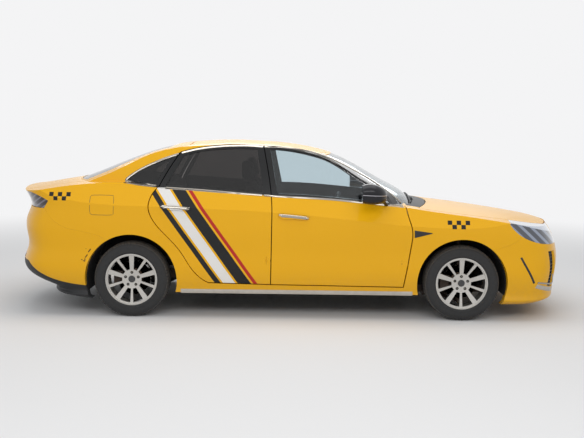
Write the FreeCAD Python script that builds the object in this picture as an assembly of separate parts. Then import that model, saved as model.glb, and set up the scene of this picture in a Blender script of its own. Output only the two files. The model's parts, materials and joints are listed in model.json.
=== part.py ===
"""Yellow taxi cab: a mid-size liftback saloon, as an assembly of separate pieces.

Millimetres. +X towards the nose, +Y towards the car's left side, +Z up.
The origin is on the ground under the middle of the car.
"""
import FreeCAD, Part
import math
import os

from FreeCAD import Rotation, Vector

os.makedirs("parts", exist_ok=True)

# Driving dimensions
WHEELBASE = 2760.0
FRONT_OVERHANG = 947.5
REAR_OVERHANG = 1067.5
WIDTH = 1820.0
HEIGHT = 1476.0
TRACK = 1548.0
TYRE_RADIUS = 314.0
TYRE_WIDTH = 205.0
RIM_RADIUS = 224.0

# Walls, gaps and clearances
WALL = 78.0
ROOF_WALL = 30.0
PILLAR_WALL = 46.0
GLASS_THICKNESS = 5.0
GLASS_INSET = 5.0
PANEL_GAP = 4.2
FIXED_GAP = 0.8
SEAT_GAP = 0.3
DOOR_CLEARANCE = 6.0
OVERRUN = 60.0
LAMP_DEPTH = 40.0
LAMP_BAR_LOW_SHARE = 0.622
LAMP_BAR_TOP_SHARE = 0.668
LAMP_INNER_SHARE = 0.50
ARCH_RADIUS_FRONT = 376.0
ARCH_RADIUS_REAR = 384.0
LINER_THICKNESS = 6.0

REAR_AXLE = REAR_OVERHANG - (FRONT_OVERHANG + WHEELBASE + REAR_OVERHANG) / 2
FRONT_AXLE = REAR_AXLE + WHEELBASE
MIDDLE = (REAR_AXLE + FRONT_AXLE) / 2
HALF_WIDTH = WIDTH / 2
LENGTH = FRONT_OVERHANG + WHEELBASE + REAR_OVERHANG
REACH = LENGTH + WIDTH

X_AXIS = Vector(1, 0, 0)
Y_AXIS = Vector(0, 1, 0)
Z_AXIS = Vector(0, 0, 1)
ORIGIN = Vector(0, 0, 0)


def along(share):
    """Fore and aft place: -2 tail, -1 rear axle, 0 mid wheelbase, 1 front axle, 2 nose."""
    if share > 1:
        return FRONT_AXLE + (share - 1) * FRONT_OVERHANG
    if share < -1:
        return REAR_AXLE + (share + 1) * REAR_OVERHANG
    return MIDDLE + share * WHEELBASE / 2


def up(share):
    """Height above the ground as a share of the car's height."""
    return share * HEIGHT


def out(share):
    """Distance from the centre plane as a share of half the width."""
    return share * HALF_WIDTH


def spline(points):
    """Edge through the points; a straight line for two of them."""
    if len(points) == 2:
        return Part.makeLine(points[0], points[1])
    curve = Part.BSplineCurve()
    curve.interpolate(points)
    return curve.toShape()


def block(low, high):
    """Box between two corners."""
    return Part.makeBox(high.x - low.x, high.y - low.y, high.z - low.z, low)


def rod(start, end, radius):
    """Round bar from start to end."""
    return Part.makeCylinder(radius, (end - start).Length, start, end - start)


def ring(centre, axis, outer, inner, length):
    """Round tube whose middle is at centre."""
    base = centre - axis * (length / 2)
    tube = Part.makeCylinder(outer, length, base, axis)
    return tube.cut(Part.makeCylinder(inner, length, base, axis))


def mirrored(shape):
    """The same piece on the car's other side."""
    return shape.mirror(ORIGIN, Y_AXIS)


def grown(runs, growth):
    """Outline with its points pushed away from its middle by growth on every side."""
    flat = [point for run in runs for point in run]
    low_u = min(point[0] for point in flat)
    high_u = max(point[0] for point in flat)
    low_v = min(point[1] for point in flat)
    high_v = max(point[1] for point in flat)
    scale_u = (high_u - low_u + 2 * growth) / (high_u - low_u)
    scale_v = (high_v - low_v + 2 * growth) / (high_v - low_v)
    mid_u = (low_u + high_u) / 2
    mid_v = (low_v + high_v) / 2
    return [
        [(mid_u + (u - mid_u) * scale_u, mid_v + (v - mid_v) * scale_v) for u, v in run]
        for run in runs
    ]


def side_prism(share_runs, growth=0.0, near=0.0, far=REACH):
    """Prism through the left half of the car, from an outline seen from the side."""
    runs = [[(along(s), up(h)) for s, h in run] for run in share_runs]
    edges = [spline([Vector(x, near, z) for x, z in run]) for run in grown(runs, growth)]
    face = Part.Face(Part.Wire(edges))
    return face.extrude(Vector(0, far - near, 0))


def plan_prism(share_runs, growth=0.0, low=-OVERRUN, high=HEIGHT + OVERRUN):
    """Upright prism from an outline seen from above."""
    runs = [[(along(s), out(w)) for s, w in run] for run in share_runs]
    edges = [spline([Vector(x, y, low) for x, y in run]) for run in grown(runs, growth)]
    face = Part.Face(Part.Wire(edges))
    return face.extrude(Vector(0, 0, high - low))


def both_ways(half_run):
    """Run across the car, from a half run that ends on the centre plane."""
    return half_run + [(s, -w) for s, w in reversed(half_run[:-1])]


def solid_of(shape):
    """The largest solid of a boolean's result."""
    return max(shape.Solids, key=lambda solid: solid.Volume)


def save(name, *shapes):
    """Write one sub-part to its own file."""
    solids = [solid for shape in shapes for solid in shape.Solids]
    body = solids[0] if len(solids) == 1 else Part.makeCompound(solids)
    body.exportStep("parts/%s.step" % name)
    print(name, len(solids), "solids", round(body.Volume / 1e6, 2), "litres")


# Outer form

# height, nose, tail and width of the body's plan at each level
LEVEL_SHARES = [
    (0.095, 1.86, -1.60, 0.925),
    (0.14, 1.965, -1.74, 0.955),
    (0.20, 1.968, -1.90, 0.972),
    (0.29, 1.985, -2.0, 0.992),
    (0.38, 1.985, -1.965, 0.990),
    (0.47, 1.945, -1.975, 1.0),
    (0.56, 1.85, -1.965, 1.0),
    (0.62, 1.78, -1.935, 0.998),
    (0.67, 1.74, -1.955, 0.998),
    (0.715, 1.72, -1.985, 0.998),
    (0.76, 1.70, -1.99, 0.998),
]
# setback from the nose or tail, and width, round a corner of the plan
CORNER_SHARES = [(0.056, 0.5), (0.145, 0.8), (0.25, 0.93), (0.44, 0.985)]
FLANK_SHARES = [(1.0, 1.0), (0.0, 0.995), (-1.0, 1.0)]


def plan_loop(level, inset):
    """Closed outline of the body at one level."""
    height, nose, tail, width = level
    half = out(width) - inset
    nose_x = along(nose) - inset
    tail_x = along(tail) + inset
    side = [(nose_x, 0)]
    side += [(nose_x - back * FRONT_OVERHANG, w * half) for back, w in CORNER_SHARES]
    side += [(along(s), w * half) for s, w in FLANK_SHARES]
    side += [(tail_x + back * REAR_OVERHANG, w * half) for back, w in reversed(CORNER_SHARES)]
    side += [(tail_x, 0)]
    loop = side + [(x, -y) for x, y in reversed(side[1:-1])]
    curve = Part.BSplineCurve()
    curve.interpolate([Vector(x, y, up(height)) for x, y in loop], PeriodicFlag=True)
    return Part.Wire([curve.toShape()])


def flank_solid(inset):
    """Body sides, nose and tail, from the plan at each level."""
    return Part.makeLoft([plan_loop(level, inset) for level in LEVEL_SHARES], True, False)


def slab_wire(points):
    """Closed wire at one height, from the left edge's points and their mirror."""
    left = spline(points)
    right = spline([Vector(p.x, -p.y, p.z) for p in reversed(points)])
    front = Part.makeLine(points[-1], Vector(points[-1].x, -points[-1].y, points[-1].z))
    back = Part.makeLine(Vector(points[0].x, -points[0].y, points[0].z), points[0])
    return Part.Wire([left, front, right, back])


# height of the shoulder crease along the car
CREASE_SHARES = [
    (-2.3, 0.680), (-1.6, 0.667), (-0.9, 0.646), (-0.15, 0.616), (0.35, 0.581),
    (0.7, 0.555), (1.0, 0.549), (1.45, 0.567), (2.3, 0.585),
]
SHOULDER_LEAN = 0.52
SHOULDER_WIDTH_SHARE = 0.985
SHOULDER_LOW_SHARE = 0.45
SHOULDER_TOP_SHARE = 0.85


def shoulder_solid(inset):
    """Region inside the leaning shoulder face above the crease."""
    wires = []
    for level in (SHOULDER_LOW_SHARE, SHOULDER_TOP_SHARE):
        points = [
            Vector(along(s), out(SHOULDER_WIDTH_SHARE) - inset + (up(c) - up(level)) * SHOULDER_LEAN, up(level))
            for s, c in CREASE_SHARES
        ]
        wires.append(slab_wire(points))
    lean = Part.makeLoft(wires, True, True)
    below = block(Vector(-REACH, -REACH, -OVERRUN), Vector(REACH, REACH, up(SHOULDER_LOW_SHARE)))
    return lean.fuse(below)


# height of the hood, belt and deck edge along the car
EDGE_SHARES = [
    (-2.3, 0.655), (-2.0, 0.684), (-1.75, 0.711), (-1.5, 0.739), (-1.2, 0.757), (-1.02, 0.756),
    (-0.85, 0.733), (-0.58, 0.717), (-0.2, 0.69), (0.2, 0.677), (0.5, 0.652), (0.64, 0.64),
    (0.8, 0.62), (1.0, 0.598), (1.25, 0.578), (1.45, 0.560), (1.7, 0.535), (1.9, 0.51), (2.2, 0.465),
]
DECK_CROWN_SHARE = 0.027
DECK_WIDTH_SHARES = (-1.3, -0.93, -0.6, -0.3, 0, 0.3, 0.6, 0.93, 1.3)
CROWN_EDGE_SHARE = 0.93


def deck_solid(drop):
    """Region under the hood, belt and deck."""
    grid = [
        [
            Vector(along(s), out(w), up(e + DECK_CROWN_SHARE * (1 - (w / CROWN_EDGE_SHARE) ** 2)) - drop)
            for w in DECK_WIDTH_SHARES
        ]
        for s, e in EDGE_SHARES
    ]
    surface = Part.BSplineSurface()
    surface.interpolate(grid)
    return surface.toShape().extrude(Vector(0, 0, -HEIGHT))


def tub_solid(side_inset, top_drop):
    """Whole lower body as one closed form."""
    flanks = flank_solid(side_inset).common(deck_solid(top_drop))
    return solid_of(flanks.common(shoulder_solid(side_inset)))


# height and width of the greenhouse side, and its narrowing along the car
TUMBLE_SHARES = [(0.50, 0.985), (0.58, 0.955), (0.685, 0.905), (0.825, 0.817), (0.965, 0.705), (1.06, 0.62)]
NARROWING_SHARES = [
    (-1.75, 0.86), (-1.3, 0.905), (-0.9, 0.955), (-0.3, 1.0), (0.2, 1.0), (0.6, 0.965), (1.0, 0.90),
]


def tumble_solid(inset):
    """Region between the two leaning sides of the greenhouse."""
    wires = []
    for level, width in TUMBLE_SHARES:
        points = [Vector(along(s), out(width) * n - inset, up(level)) for s, n in NARROWING_SHARES]
        wires.append(slab_wire(points))
    return Part.makeLoft(wires, True, False)


# place, height, sweep and crown of the roof line, from the rear glass to the windscreen
ROOF_SHARES = [
    (-1.80, 0.66, -0.12, 0.0), (-1.56, 0.757, -0.12, 0.002), (-1.38, 0.808, -0.11, 0.004),
    (-1.15, 0.876, -0.08, 0.01), (-0.93, 0.939, -0.03, 0.018), (-0.745, 0.979, 0, 0.022),
    (-0.56, 0.995, 0, 0.024), (-0.41, 1.0, 0, 0.024), (-0.25, 0.995, 0, 0.024),
    (-0.04, 0.980, 0.01, 0.022), (0.083, 0.961, 0.04, 0.018), (0.244, 0.920, 0.07, 0.010),
    (0.394, 0.852, 0.09, 0.004), (0.557, 0.767, 0.10, 0), (0.70, 0.69, 0.105, 0), (0.88, 0.59, 0.11, 0),
]
ROOF_WIDTH_SHARES = (-0.98, -0.7, -0.4, 0, 0.4, 0.7, 0.98)
SWEEP_EDGE_SHARE = 0.7


def roof_solid(drop):
    """Region under the windscreen, roof and rear glass."""
    grid = []
    for s, height, sweep, crown in ROOF_SHARES:
        row = []
        for w in ROOF_WIDTH_SHARES:
            fall = (w / SWEEP_EDGE_SHARE) ** 2
            x = along(s) - sweep * fall * WHEELBASE / 2
            row.append(Vector(x, out(w), up(height - crown * fall) - drop))
        grid.append(row)
    surface = Part.BSplineSurface()
    surface.interpolate(grid)
    return surface.toShape().extrude(Vector(0, 0, -HEIGHT))


def cabin_solid(side_inset, top_drop):
    """Whole greenhouse as one closed form."""
    return solid_of(tumble_solid(side_inset).common(roof_solid(top_drop)))


UNDERSIDE_SHARE = 0.146
SILL_TOP_SHARE = 0.2

tub_outer = tub_solid(0, 0)
tub_inner = tub_solid(WALL, ROOF_WALL)
cabin_outer = cabin_solid(0, 0)
cabin_inner = cabin_solid(PILLAR_WALL, ROOF_WALL)


# the greenhouse starts this far under the belt, inside the lower body's wall
SINK_SHARE = 0.012
SKY_SHARE = 1.1


def above_belt(lift):
    """Everything over a line just under the belt, lifted by a given height."""
    line = [(s, e - SINK_SHARE + lift / HEIGHT) for s, e in EDGE_SHARES]
    front = (line[-1][0], SKY_SHARE)
    back = (line[0][0], SKY_SHARE)
    return side_prism([line, [line[-1], front], [front, back], [back, line[0]]], 0, -REACH, REACH)


tub_shell = tub_outer.cut(tub_inner)
tub_shell_open = tub_shell.cut(cabin_inner)
cabin_shell = cabin_outer.common(above_belt(0)).cut(cabin_inner)


def tub_skin(zone):
    """The lower body's wall inside a zone."""
    return tub_outer.common(zone).cut(tub_inner)


def skin(zone):
    """The wall of the whole body inside a zone."""
    return tub_shell_open.common(zone).fuse(cabin_shell.common(zone))


def wheel_place(front, side, height=TYRE_RADIUS):
    """Centre of a wheel."""
    return Vector(FRONT_AXLE if front else REAR_AXLE, side * TRACK / 2, height)


def arch_cutter(front, radius):
    """Cylinder across the car that clears both wheels of one axle."""
    centre = wheel_place(front, 0)
    return Part.makeCylinder(radius, REACH, centre - Y_AXIS * (REACH / 2), Y_AXIS)


WELL_INNER = TRACK / 2 - 265.0
front_arch = arch_cutter(True, ARCH_RADIUS_FRONT)
rear_arch = arch_cutter(False, ARCH_RADIUS_REAR)
underside = block(Vector(-REACH, -REACH, -OVERRUN), Vector(REACH, REACH, up(UNDERSIDE_SHARE)))
left_half = block(Vector(-REACH, 0, -OVERRUN), Vector(REACH, REACH, HEIGHT + OVERRUN))

# Side openings, as outlines seen from the side

PILLAR_LINE_SHARES = [(-0.150, 0.60), (-0.157, 0.705), (-0.209, 0.974)]
FRONT_DOOR_SHARES = [
    [(-0.155, 0.196), (-0.150, 0.60)],
    PILLAR_LINE_SHARES,
    [(-0.209, 0.974), (-0.106, 0.974), (0.049, 0.956), (0.154, 0.930), (0.261, 0.889), (0.367, 0.837),
     (0.474, 0.779), (0.603, 0.695), (0.654, 0.648)],
    [(0.654, 0.648), (0.675, 0.570), (0.692, 0.507), (0.686, 0.424), (0.667, 0.308), (0.646, 0.190)],
    [(0.646, 0.190), (-0.155, 0.196)],
]
REAR_DOOR_SHARES = [
    [(-0.155, 0.196), (-0.150, 0.60)],
    PILLAR_LINE_SHARES,
    [(-0.209, 0.974), (-0.316, 0.979), (-0.457, 0.975), (-0.597, 0.960), (-0.722, 0.932)],
    [(-0.722, 0.932), (-0.847, 0.728)],
    [(-0.847, 0.728), (-0.885, 0.669), (-0.891, 0.626), (-0.869, 0.564), (-0.796, 0.480),
     (-0.701, 0.381), (-0.640, 0.293), (-0.585, 0.235), (-0.530, 0.203)],
    [(-0.530, 0.203), (-0.155, 0.196)],
]
FRONT_WINDOW_SHARES = [
    [(-0.118, 0.706), (-0.168, 0.950)],
    [(-0.168, 0.950), (-0.106, 0.950), (0.049, 0.932), (0.154, 0.906), (0.261, 0.864), (0.367, 0.812),
     (0.474, 0.754), (0.575, 0.684)],
    [(0.575, 0.684), (0.598, 0.660)],
    [(0.598, 0.660), (0.377, 0.678), (0.225, 0.691), (-0.118, 0.706)],
]
REAR_WINDOW_SHARES = [
    [(-0.205, 0.712), (-0.248, 0.953)],
    [(-0.248, 0.953), (-0.316, 0.955), (-0.457, 0.951), (-0.597, 0.936), (-0.698, 0.912)],
    [(-0.698, 0.912), (-0.797, 0.746)],
    [(-0.797, 0.746), (-0.583, 0.736), (-0.341, 0.720), (-0.205, 0.712)],
]
QUARTER_WINDOW_SHARES = [
    [(-0.862, 0.752), (-0.770, 0.905)],
    [(-0.770, 0.905), (-0.844, 0.877), (-0.950, 0.832), (-1.045, 0.774)],
    [(-1.045, 0.774), (-0.955, 0.760), (-0.862, 0.752)],
]
DOOR_INNER_Y = out(0.42)
WINDOW_INNER_Y = out(0.35)
DOOR_SHOULDER_Y = out(0.80)


def door_core(clearance):
    """Space inboard of the doors, under the belt and between the window frames."""
    line = [(s, e - SINK_SHARE) for s, e in EDGE_SHARES]
    front = (line[-1][0], -0.1)
    back = (line[0][0], -0.1)
    runs = [line, [line[-1], front], [front, back], [back, line[0]]]
    lower = side_prism(runs, 0, 0, DOOR_SHOULDER_Y - clearance)
    return tumble_solid(PILLAR_WALL + clearance).common(above_belt(clearance)).fuse(lower)


LEAN_START_Y = out(0.92)
LEAN_REACH = 900.0
LEAN_REACH_REAR = 540.0
LEAN_CHANGE_X = along(-0.5)
DOOR_FAR_Y = HALF_WIDTH + OVERRUN


def side_y(height):
    """Half width of the greenhouse at a height, by straight runs between its levels."""
    for (low, low_width), (high, high_width) in zip(TUMBLE_SHARES, TUMBLE_SHARES[1:]):
        if height <= up(high):
            part = max((height - up(low)) / up(high - low), 0)
            return out(low_width + (high_width - low_width) * part)
    return out(TUMBLE_SHARES[-1][1])


def door_lean(x, y, z):
    """Shift of a door's edge across the wall, which lets the door swing out past its frame."""
    reach = LEAN_REACH_REAR if x < LEAN_CHANGE_X else LEAN_REACH
    return max(LEAN_START_Y - side_y(z), 0) / reach * (side_y(z) - y)


def door_prism(share_runs, growth, clearance):
    """Zone that a door fills, or its opening, with leaning edges."""
    runs = grown([[(along(s), up(h)) for s, h in run] for run in share_runs], growth)
    wires = []
    for y in (DOOR_INNER_Y, DOOR_FAR_Y):
        edges = [spline([Vector(x + door_lean(x, y, z), y, z) for x, z in run]) for run in runs]
        wires.append(Part.Wire(edges))
    return Part.makeLoft(wires, True, True).cut(door_core(clearance))


HINGE_AXIS_X = {"front": along(0.632), "rear": along(-0.182)}
HINGE_AXIS_Y = {"front": 893.0, "rear": 894.0}
HINGE_HEIGHTS = {"front": (up(0.325), up(0.515)), "rear": (up(0.335), up(0.520))}
HINGE_SWEEP = 112.0
HINGE_CORNER_TOP = up(0.66)


def hinge_corner(which):
    """What a door leaves out ahead of its pin, so that it swings clear of its post."""
    pin = Vector(HINGE_AXIS_X[which], HINGE_AXIS_Y[which], 0)
    corner = block(pin - Y_AXIS * REACH, Vector(REACH, pin.y, HINGE_CORNER_TOP))
    return corner.cut(Part.makeCylinder(HINGE_SWEEP, HEIGHT, pin))


front_window = side_prism(FRONT_WINDOW_SHARES, 0, WINDOW_INNER_Y)
rear_window = side_prism(REAR_WINDOW_SHARES, 0, WINDOW_INNER_Y)
quarter_window = side_prism(QUARTER_WINDOW_SHARES, 0, WINDOW_INNER_Y)
front_door_zone = door_prism(FRONT_DOOR_SHARES, -PANEL_GAP, 0).cut(front_window).cut(hinge_corner("front"))
rear_door_zone = door_prism(REAR_DOOR_SHARES, -PANEL_GAP, 0).cut(rear_window)
front_door_left = skin(front_door_zone.cut(front_arch))
rear_door_left = skin(rear_door_zone.cut(rear_arch))

glass_outer = cabin_solid(GLASS_INSET, GLASS_INSET)
side_glass_inner = tumble_solid(GLASS_INSET + GLASS_THICKNESS)
top_glass_inner = roof_solid(GLASS_INSET + GLASS_THICKNESS)


def side_pane(zone):
    """Glass that fills an opening in the side."""
    return solid_of(glass_outer.common(zone).cut(side_glass_inner))


def top_pane(zone):
    """Glass that fills an opening seen from above."""
    return solid_of(glass_outer.common(zone).cut(top_glass_inner))


front_glass_left = side_pane(front_window)
rear_glass_left = side_pane(rear_window)
quarter_glass_left = side_pane(quarter_window)

# Plan openings: windscreen, roof, tailgate and hood

SCREEN_SHARES = [
    both_ways([(0.66, 0.745), (0.715, 0.5), (0.748, 0.25), (0.76, 0)]),
    [(0.66, -0.745), (0.17, -0.575)],
    both_ways([(0.17, -0.575), (0.205, -0.3), (0.215, 0)]),
    [(0.17, 0.575), (0.66, 0.745)],
]
ROOF_PANEL_SHARES = [
    both_ways([(0.135, 0.60), (0.175, 0.3), (0.185, 0)]),
    [(0.135, -0.60), (-0.66, -0.60)],
    [(-0.66, -0.60), (-0.66, 0.60)],
    [(-0.66, 0.60), (0.135, 0.60)],
]
TAILGATE_TOP_SHARE = -0.67
TAILGATE_SHARES = [
    [(TAILGATE_TOP_SHARE, 0.615), (-1.28, 0.70)],
    [(-1.28, 0.70), (-1.50, 0.702), (-1.75, 0.696), (-2.2, 0.68)],
    [(-2.2, 0.68), (-2.2, -0.68)],
    [(-2.2, -0.68), (-1.75, -0.696), (-1.50, -0.702), (-1.28, -0.70)],
    [(-1.28, -0.70), (TAILGATE_TOP_SHARE, -0.615)],
    [(TAILGATE_TOP_SHARE, -0.615), (TAILGATE_TOP_SHARE, 0.615)],
]
REAR_GLASS_SHARES = [
    both_ways([(-0.80, 0.56), (-0.775, 0.3), (-0.77, 0)]),
    [(-0.80, -0.56), (-1.40, -0.635)],
    both_ways([(-1.40, -0.635), (-1.50, -0.3), (-1.52, 0)]),
    [(-1.40, 0.635), (-0.80, 0.56)],
]
TAILGATE_FLOOR_SHARE = 0.49
HOOD_SHARES = [
    both_ways([(0.735, 0.835), (0.80, 0.5), (0.83, 0.25), (0.84, 0)]),
    [(0.735, -0.835), (1.1, -0.845), (1.41, -0.80), (1.60, -0.76), (1.76, -0.66)],
    both_ways([(1.76, -0.66), (1.84, -0.40), (1.875, 0)]),
    [(1.76, 0.66), (1.60, 0.76), (1.41, 0.80), (1.1, 0.845), (0.735, 0.835)],
]
HOOD_FLOOR_SHARE = 0.50

tailgate_zone = plan_prism(TAILGATE_SHARES, 0, up(TAILGATE_FLOOR_SHARE))
tailgate_form = plan_prism(TAILGATE_SHARES, -PANEL_GAP, up(TAILGATE_FLOOR_SHARE) + PANEL_GAP * 2)
rear_glass_hole = plan_prism(REAR_GLASS_SHARES, 0, up(TAILGATE_FLOOR_SHARE))
hood_zone = plan_prism(HOOD_SHARES, 0, up(HOOD_FLOOR_SHARE))
hood_form = plan_prism(HOOD_SHARES, -PANEL_GAP, up(HOOD_FLOOR_SHARE))
screen_hole = plan_prism(SCREEN_SHARES, 0, up(TAILGATE_FLOOR_SHARE))
roof_zone = plan_prism(ROOF_PANEL_SHARES, 0, up(0.8))
roof_form = plan_prism(ROOF_PANEL_SHARES, -FIXED_GAP, up(0.8))
hood = tub_skin(hood_form)
roof_panel = cabin_shell.common(roof_form)
windscreen = top_pane(screen_hole)
rear_glass = top_pane(rear_glass_hole)

# Side outlines of the lamps, bumpers and fender

HEADLAMP_SHARES = [
    [(1.395, 0.556), (1.43, 0.582), (1.95, 0.582)],
    [(1.95, 0.582), (2.1, 0.43)],
    [(2.1, 0.43), (1.81, 0.438), (1.62, 0.456), (1.50, 0.490), (1.395, 0.556)],
]
FRONT_BUMPER_SHARES = [
    [(1.395, 0.556), (1.50, 0.490), (1.27, 0.41), (1.27, 0.0)],
    [(1.27, 0.0), (2.3, 0.0)],
    [(2.3, 0.0), (2.3, 0.62)],
    [(2.3, 0.62), (1.395, 0.556)],
]
TAIL_LAMP_SHARES = [
    [(-1.64, 0.655), (-1.72, 0.683), (-1.80, 0.70)],
    [(-1.80, 0.70), (-2.2, 0.70)],
    [(-2.2, 0.70), (-2.2, 0.625)],
    [(-2.2, 0.625), (-1.76, 0.615), (-1.68, 0.613)],
    [(-1.68, 0.613), (-1.64, 0.655)],
]
REAR_BUMPER_SHARES = [
    [(-1.67, 0.613), (-1.62, 0.56), (-1.54, 0.518), (-1.40, 0.49), (-1.20, 0.448)],
    [(-1.20, 0.448), (-1.20, 0.0)],
    [(-1.20, 0.0), (-2.3, 0.0)],
    [(-2.3, 0.0), (-2.3, 0.613)],
    [(-2.3, 0.613), (-1.67, 0.613)],
]
VALANCE_SHARES = [
    [(-1.20, 0.172), (-1.386, 0.179), (-1.70, 0.238), (-1.83, 0.305)],
    [(-1.83, 0.305), (-2.3, 0.335)],
    [(-2.3, 0.335), (-2.3, 0.0)],
    [(-2.3, 0.0), (-1.20, 0.0)],
    [(-1.20, 0.0), (-1.20, 0.172)],
]
FENDER_REAR_SHARES = [
    [(0.654, 0.648), (0.675, 0.570), (0.692, 0.507), (0.686, 0.424), (0.667, 0.308), (0.646, 0.190)],
    [(0.646, 0.190), (0.646, 0.0)],
    [(0.646, 0.0), (2.3, 0.0)],
    [(2.3, 0.0), (2.3, 0.70)],
    [(2.3, 0.70), (0.654, 0.648)],
]


def whole_prism(share_runs, growth=0.0):
    """Prism through both halves of the car."""
    half = side_prism(share_runs, growth, -REACH, REACH)
    return half


lamp_zone = whole_prism(HEADLAMP_SHARES)
front_zone = whole_prism(FRONT_BUMPER_SHARES)
tail_zone = whole_prism(TAIL_LAMP_SHARES)
rear_zone = whole_prism(REAR_BUMPER_SHARES)
valance_zone = whole_prism(VALANCE_SHARES)
fender_zone = whole_prism(FENDER_REAR_SHARES)


def less(zone, *others):
    """A zone without the zones that other pieces take."""
    for other in others:
        zone = zone.cut(other)
    return zone


arches = (front_arch, rear_arch)
lamp_middle = block(Vector(0, -out(LAMP_INNER_SHARE), 0), Vector(REACH, out(LAMP_INNER_SHARE), HEIGHT))
lamp_zone = less(lamp_zone, lamp_middle)
hood_hole = plan_prism(HOOD_SHARES, PANEL_GAP, up(HOOD_FLOOR_SHARE) - PANEL_GAP * 2)
tailgate_hole = plan_prism(TAILGATE_SHARES, PANEL_GAP, up(TAILGATE_FLOOR_SHARE))
front_door_hole = door_prism(FRONT_DOOR_SHARES, PANEL_GAP, DOOR_CLEARANCE)
rear_door_hole = door_prism(REAR_DOOR_SHARES, PANEL_GAP, DOOR_CLEARANCE)
headlamps = tub_skin(less(whole_prism(HEADLAMP_SHARES, -FIXED_GAP), hood_hole, lamp_middle))
front_bumper = tub_skin(less(whole_prism(FRONT_BUMPER_SHARES, -FIXED_GAP), hood_hole, lamp_zone, front_arch))
tail_lamps = tub_skin(less(whole_prism(TAIL_LAMP_SHARES, -FIXED_GAP), tailgate_hole))
rear_bumper = tub_skin(less(whole_prism(REAR_BUMPER_SHARES, -FIXED_GAP), tailgate_hole, valance_zone, rear_arch))
rear_valance = tub_skin(less(whole_prism(VALANCE_SHARES, -FIXED_GAP), rear_arch))
lamp_depth_solid = tub_solid(LAMP_DEPTH, ROOF_WALL)
lamp_bar_zone = tailgate_form.common(block(
    Vector(-REACH, -REACH, up(LAMP_BAR_LOW_SHARE)), Vector(along(-1.8), REACH, up(LAMP_BAR_TOP_SHARE))))
tailgate_lamp = tub_outer.common(lamp_bar_zone).cut(lamp_depth_solid)
tailgate = skin(less(tailgate_form, rear_glass_hole)).cut(tailgate_lamp)
cowl_block = block(Vector(along(0.665), -out(0.78), up(0.55)), Vector(along(0.9), out(0.78), up(0.75)))
cowl_zone = less(cowl_block, hood_hole, screen_hole)
cowl = tub_skin(cowl_zone.cut(cabin_outer))
fender_left = tub_skin(less(fender_zone.common(left_half), hood_hole, front_zone, lamp_zone, front_arch, underside,
                            front_door_hole, cowl_block)).cut(cabin_outer)
side_form = less(left_half, fender_zone, hood_hole, tailgate_hole, roof_zone, screen_hole, tail_zone, rear_zone,
                 front_door_hole, rear_door_hole,
                 quarter_window, underside, rear_arch, cowl_block)
side_left = skin(side_form)
# Doors: hinges and handles

PIN_RADIUS = 5.0
PIN_GAP = 0.3
PIN_HALF_LENGTH = 32.0
HINGE_EYE_RADIUS = 9.0
HINGE_ARM_HALF = 8.0
HINGE_ARM_HEIGHT = 12.0
HINGE_NOTCH_GAP = 2.0
HINGE_NOTCH_PAST = 6.0
HINGE_LEG_Y = 806.0
HINGE_LEG_WIDTH = 14.0
POST_FACE_X = along(0.685) + 22.0
PILLAR_CLEARANCE = 27.0
PILLAR_Y = HALF_WIDTH - WALL - PILLAR_CLEARANCE
NOTCH_END_X = {"front": along(0.70), "rear": along(-0.145)}


def hinge_arm(which, height):
    """Gooseneck arm of one left door, with its pin."""
    pin = Vector(HINGE_AXIS_X[which], HINGE_AXIS_Y[which], height)
    low = height - HINGE_ARM_HEIGHT / 2
    arm = Part.makeCylinder(HINGE_EYE_RADIUS, HINGE_ARM_HEIGHT, Vector(pin.x, pin.y, low))
    foot_y = HINGE_LEG_Y if which == "front" else PILLAR_Y
    arm = arm.fuse(block(Vector(pin.x - HINGE_ARM_HALF, foot_y, low),
                         Vector(pin.x + HINGE_ARM_HALF, pin.y, low + HINGE_ARM_HEIGHT)))
    if which == "front":
        arm = arm.fuse(block(Vector(pin.x - HINGE_ARM_HALF, HINGE_LEG_Y, low),
                             Vector(POST_FACE_X, HINGE_LEG_Y + HINGE_LEG_WIDTH, low + HINGE_ARM_HEIGHT)))
    return arm.fuse(Part.makeCylinder(PIN_RADIUS, PIN_HALF_LENGTH * 2, pin - Z_AXIS * PIN_HALF_LENGTH))


def hinge_space(which, height):
    """Notch and bore that a hinge needs in its door."""
    pin = Vector(HINGE_AXIS_X[which], HINGE_AXIS_Y[which], height)
    half = HINGE_ARM_HEIGHT / 2 + HINGE_NOTCH_GAP
    inner_y = min(HINGE_LEG_Y, PILLAR_Y) - HINGE_ARM_HALF
    notch = block(Vector(pin.x - HINGE_EYE_RADIUS - HINGE_NOTCH_PAST, inner_y, height - half),
                  Vector(NOTCH_END_X[which], pin.y + HINGE_EYE_RADIUS - HINGE_NOTCH_GAP, height + half))
    eye = Part.makeCylinder(HINGE_EYE_RADIUS + PIN_GAP, half * 2, Vector(pin.x, pin.y, height - half))
    bore = Part.makeCylinder(PIN_RADIUS + PIN_GAP, (PIN_HALF_LENGTH + PIN_GAP) * 2,
                             pin - Z_AXIS * (PIN_HALF_LENGTH + PIN_GAP))
    return notch.fuse([eye, bore])


HANDLE_PROUD = 17.0
HANDLE_TUNNEL = 7.0
HANDLE_GROWTH = 60.0
HANDLE_SHARES = {
    "front": [(-0.112, 0.590), (-0.095, 0.600), (-0.02, 0.597), (0.055, 0.588), (0.075, 0.577),
              (0.055, 0.570), (-0.02, 0.572), (-0.095, 0.576), (-0.112, 0.590)],
    "rear": [(-0.820, 0.633), (-0.803, 0.643), (-0.730, 0.640), (-0.655, 0.632), (-0.635, 0.621),
             (-0.655, 0.614), (-0.730, 0.616), (-0.803, 0.620), (-0.820, 0.633)],
}
HANDLE_END_SHARE = 0.035
handle_outer = flank_solid(-HANDLE_PROUD)
handle_inner = flank_solid(-HANDLE_TUNNEL)
handle_lean = shoulder_solid(-HANDLE_PROUD)
handle_lean_inner = shoulder_solid(-HANDLE_TUNNEL)


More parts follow.
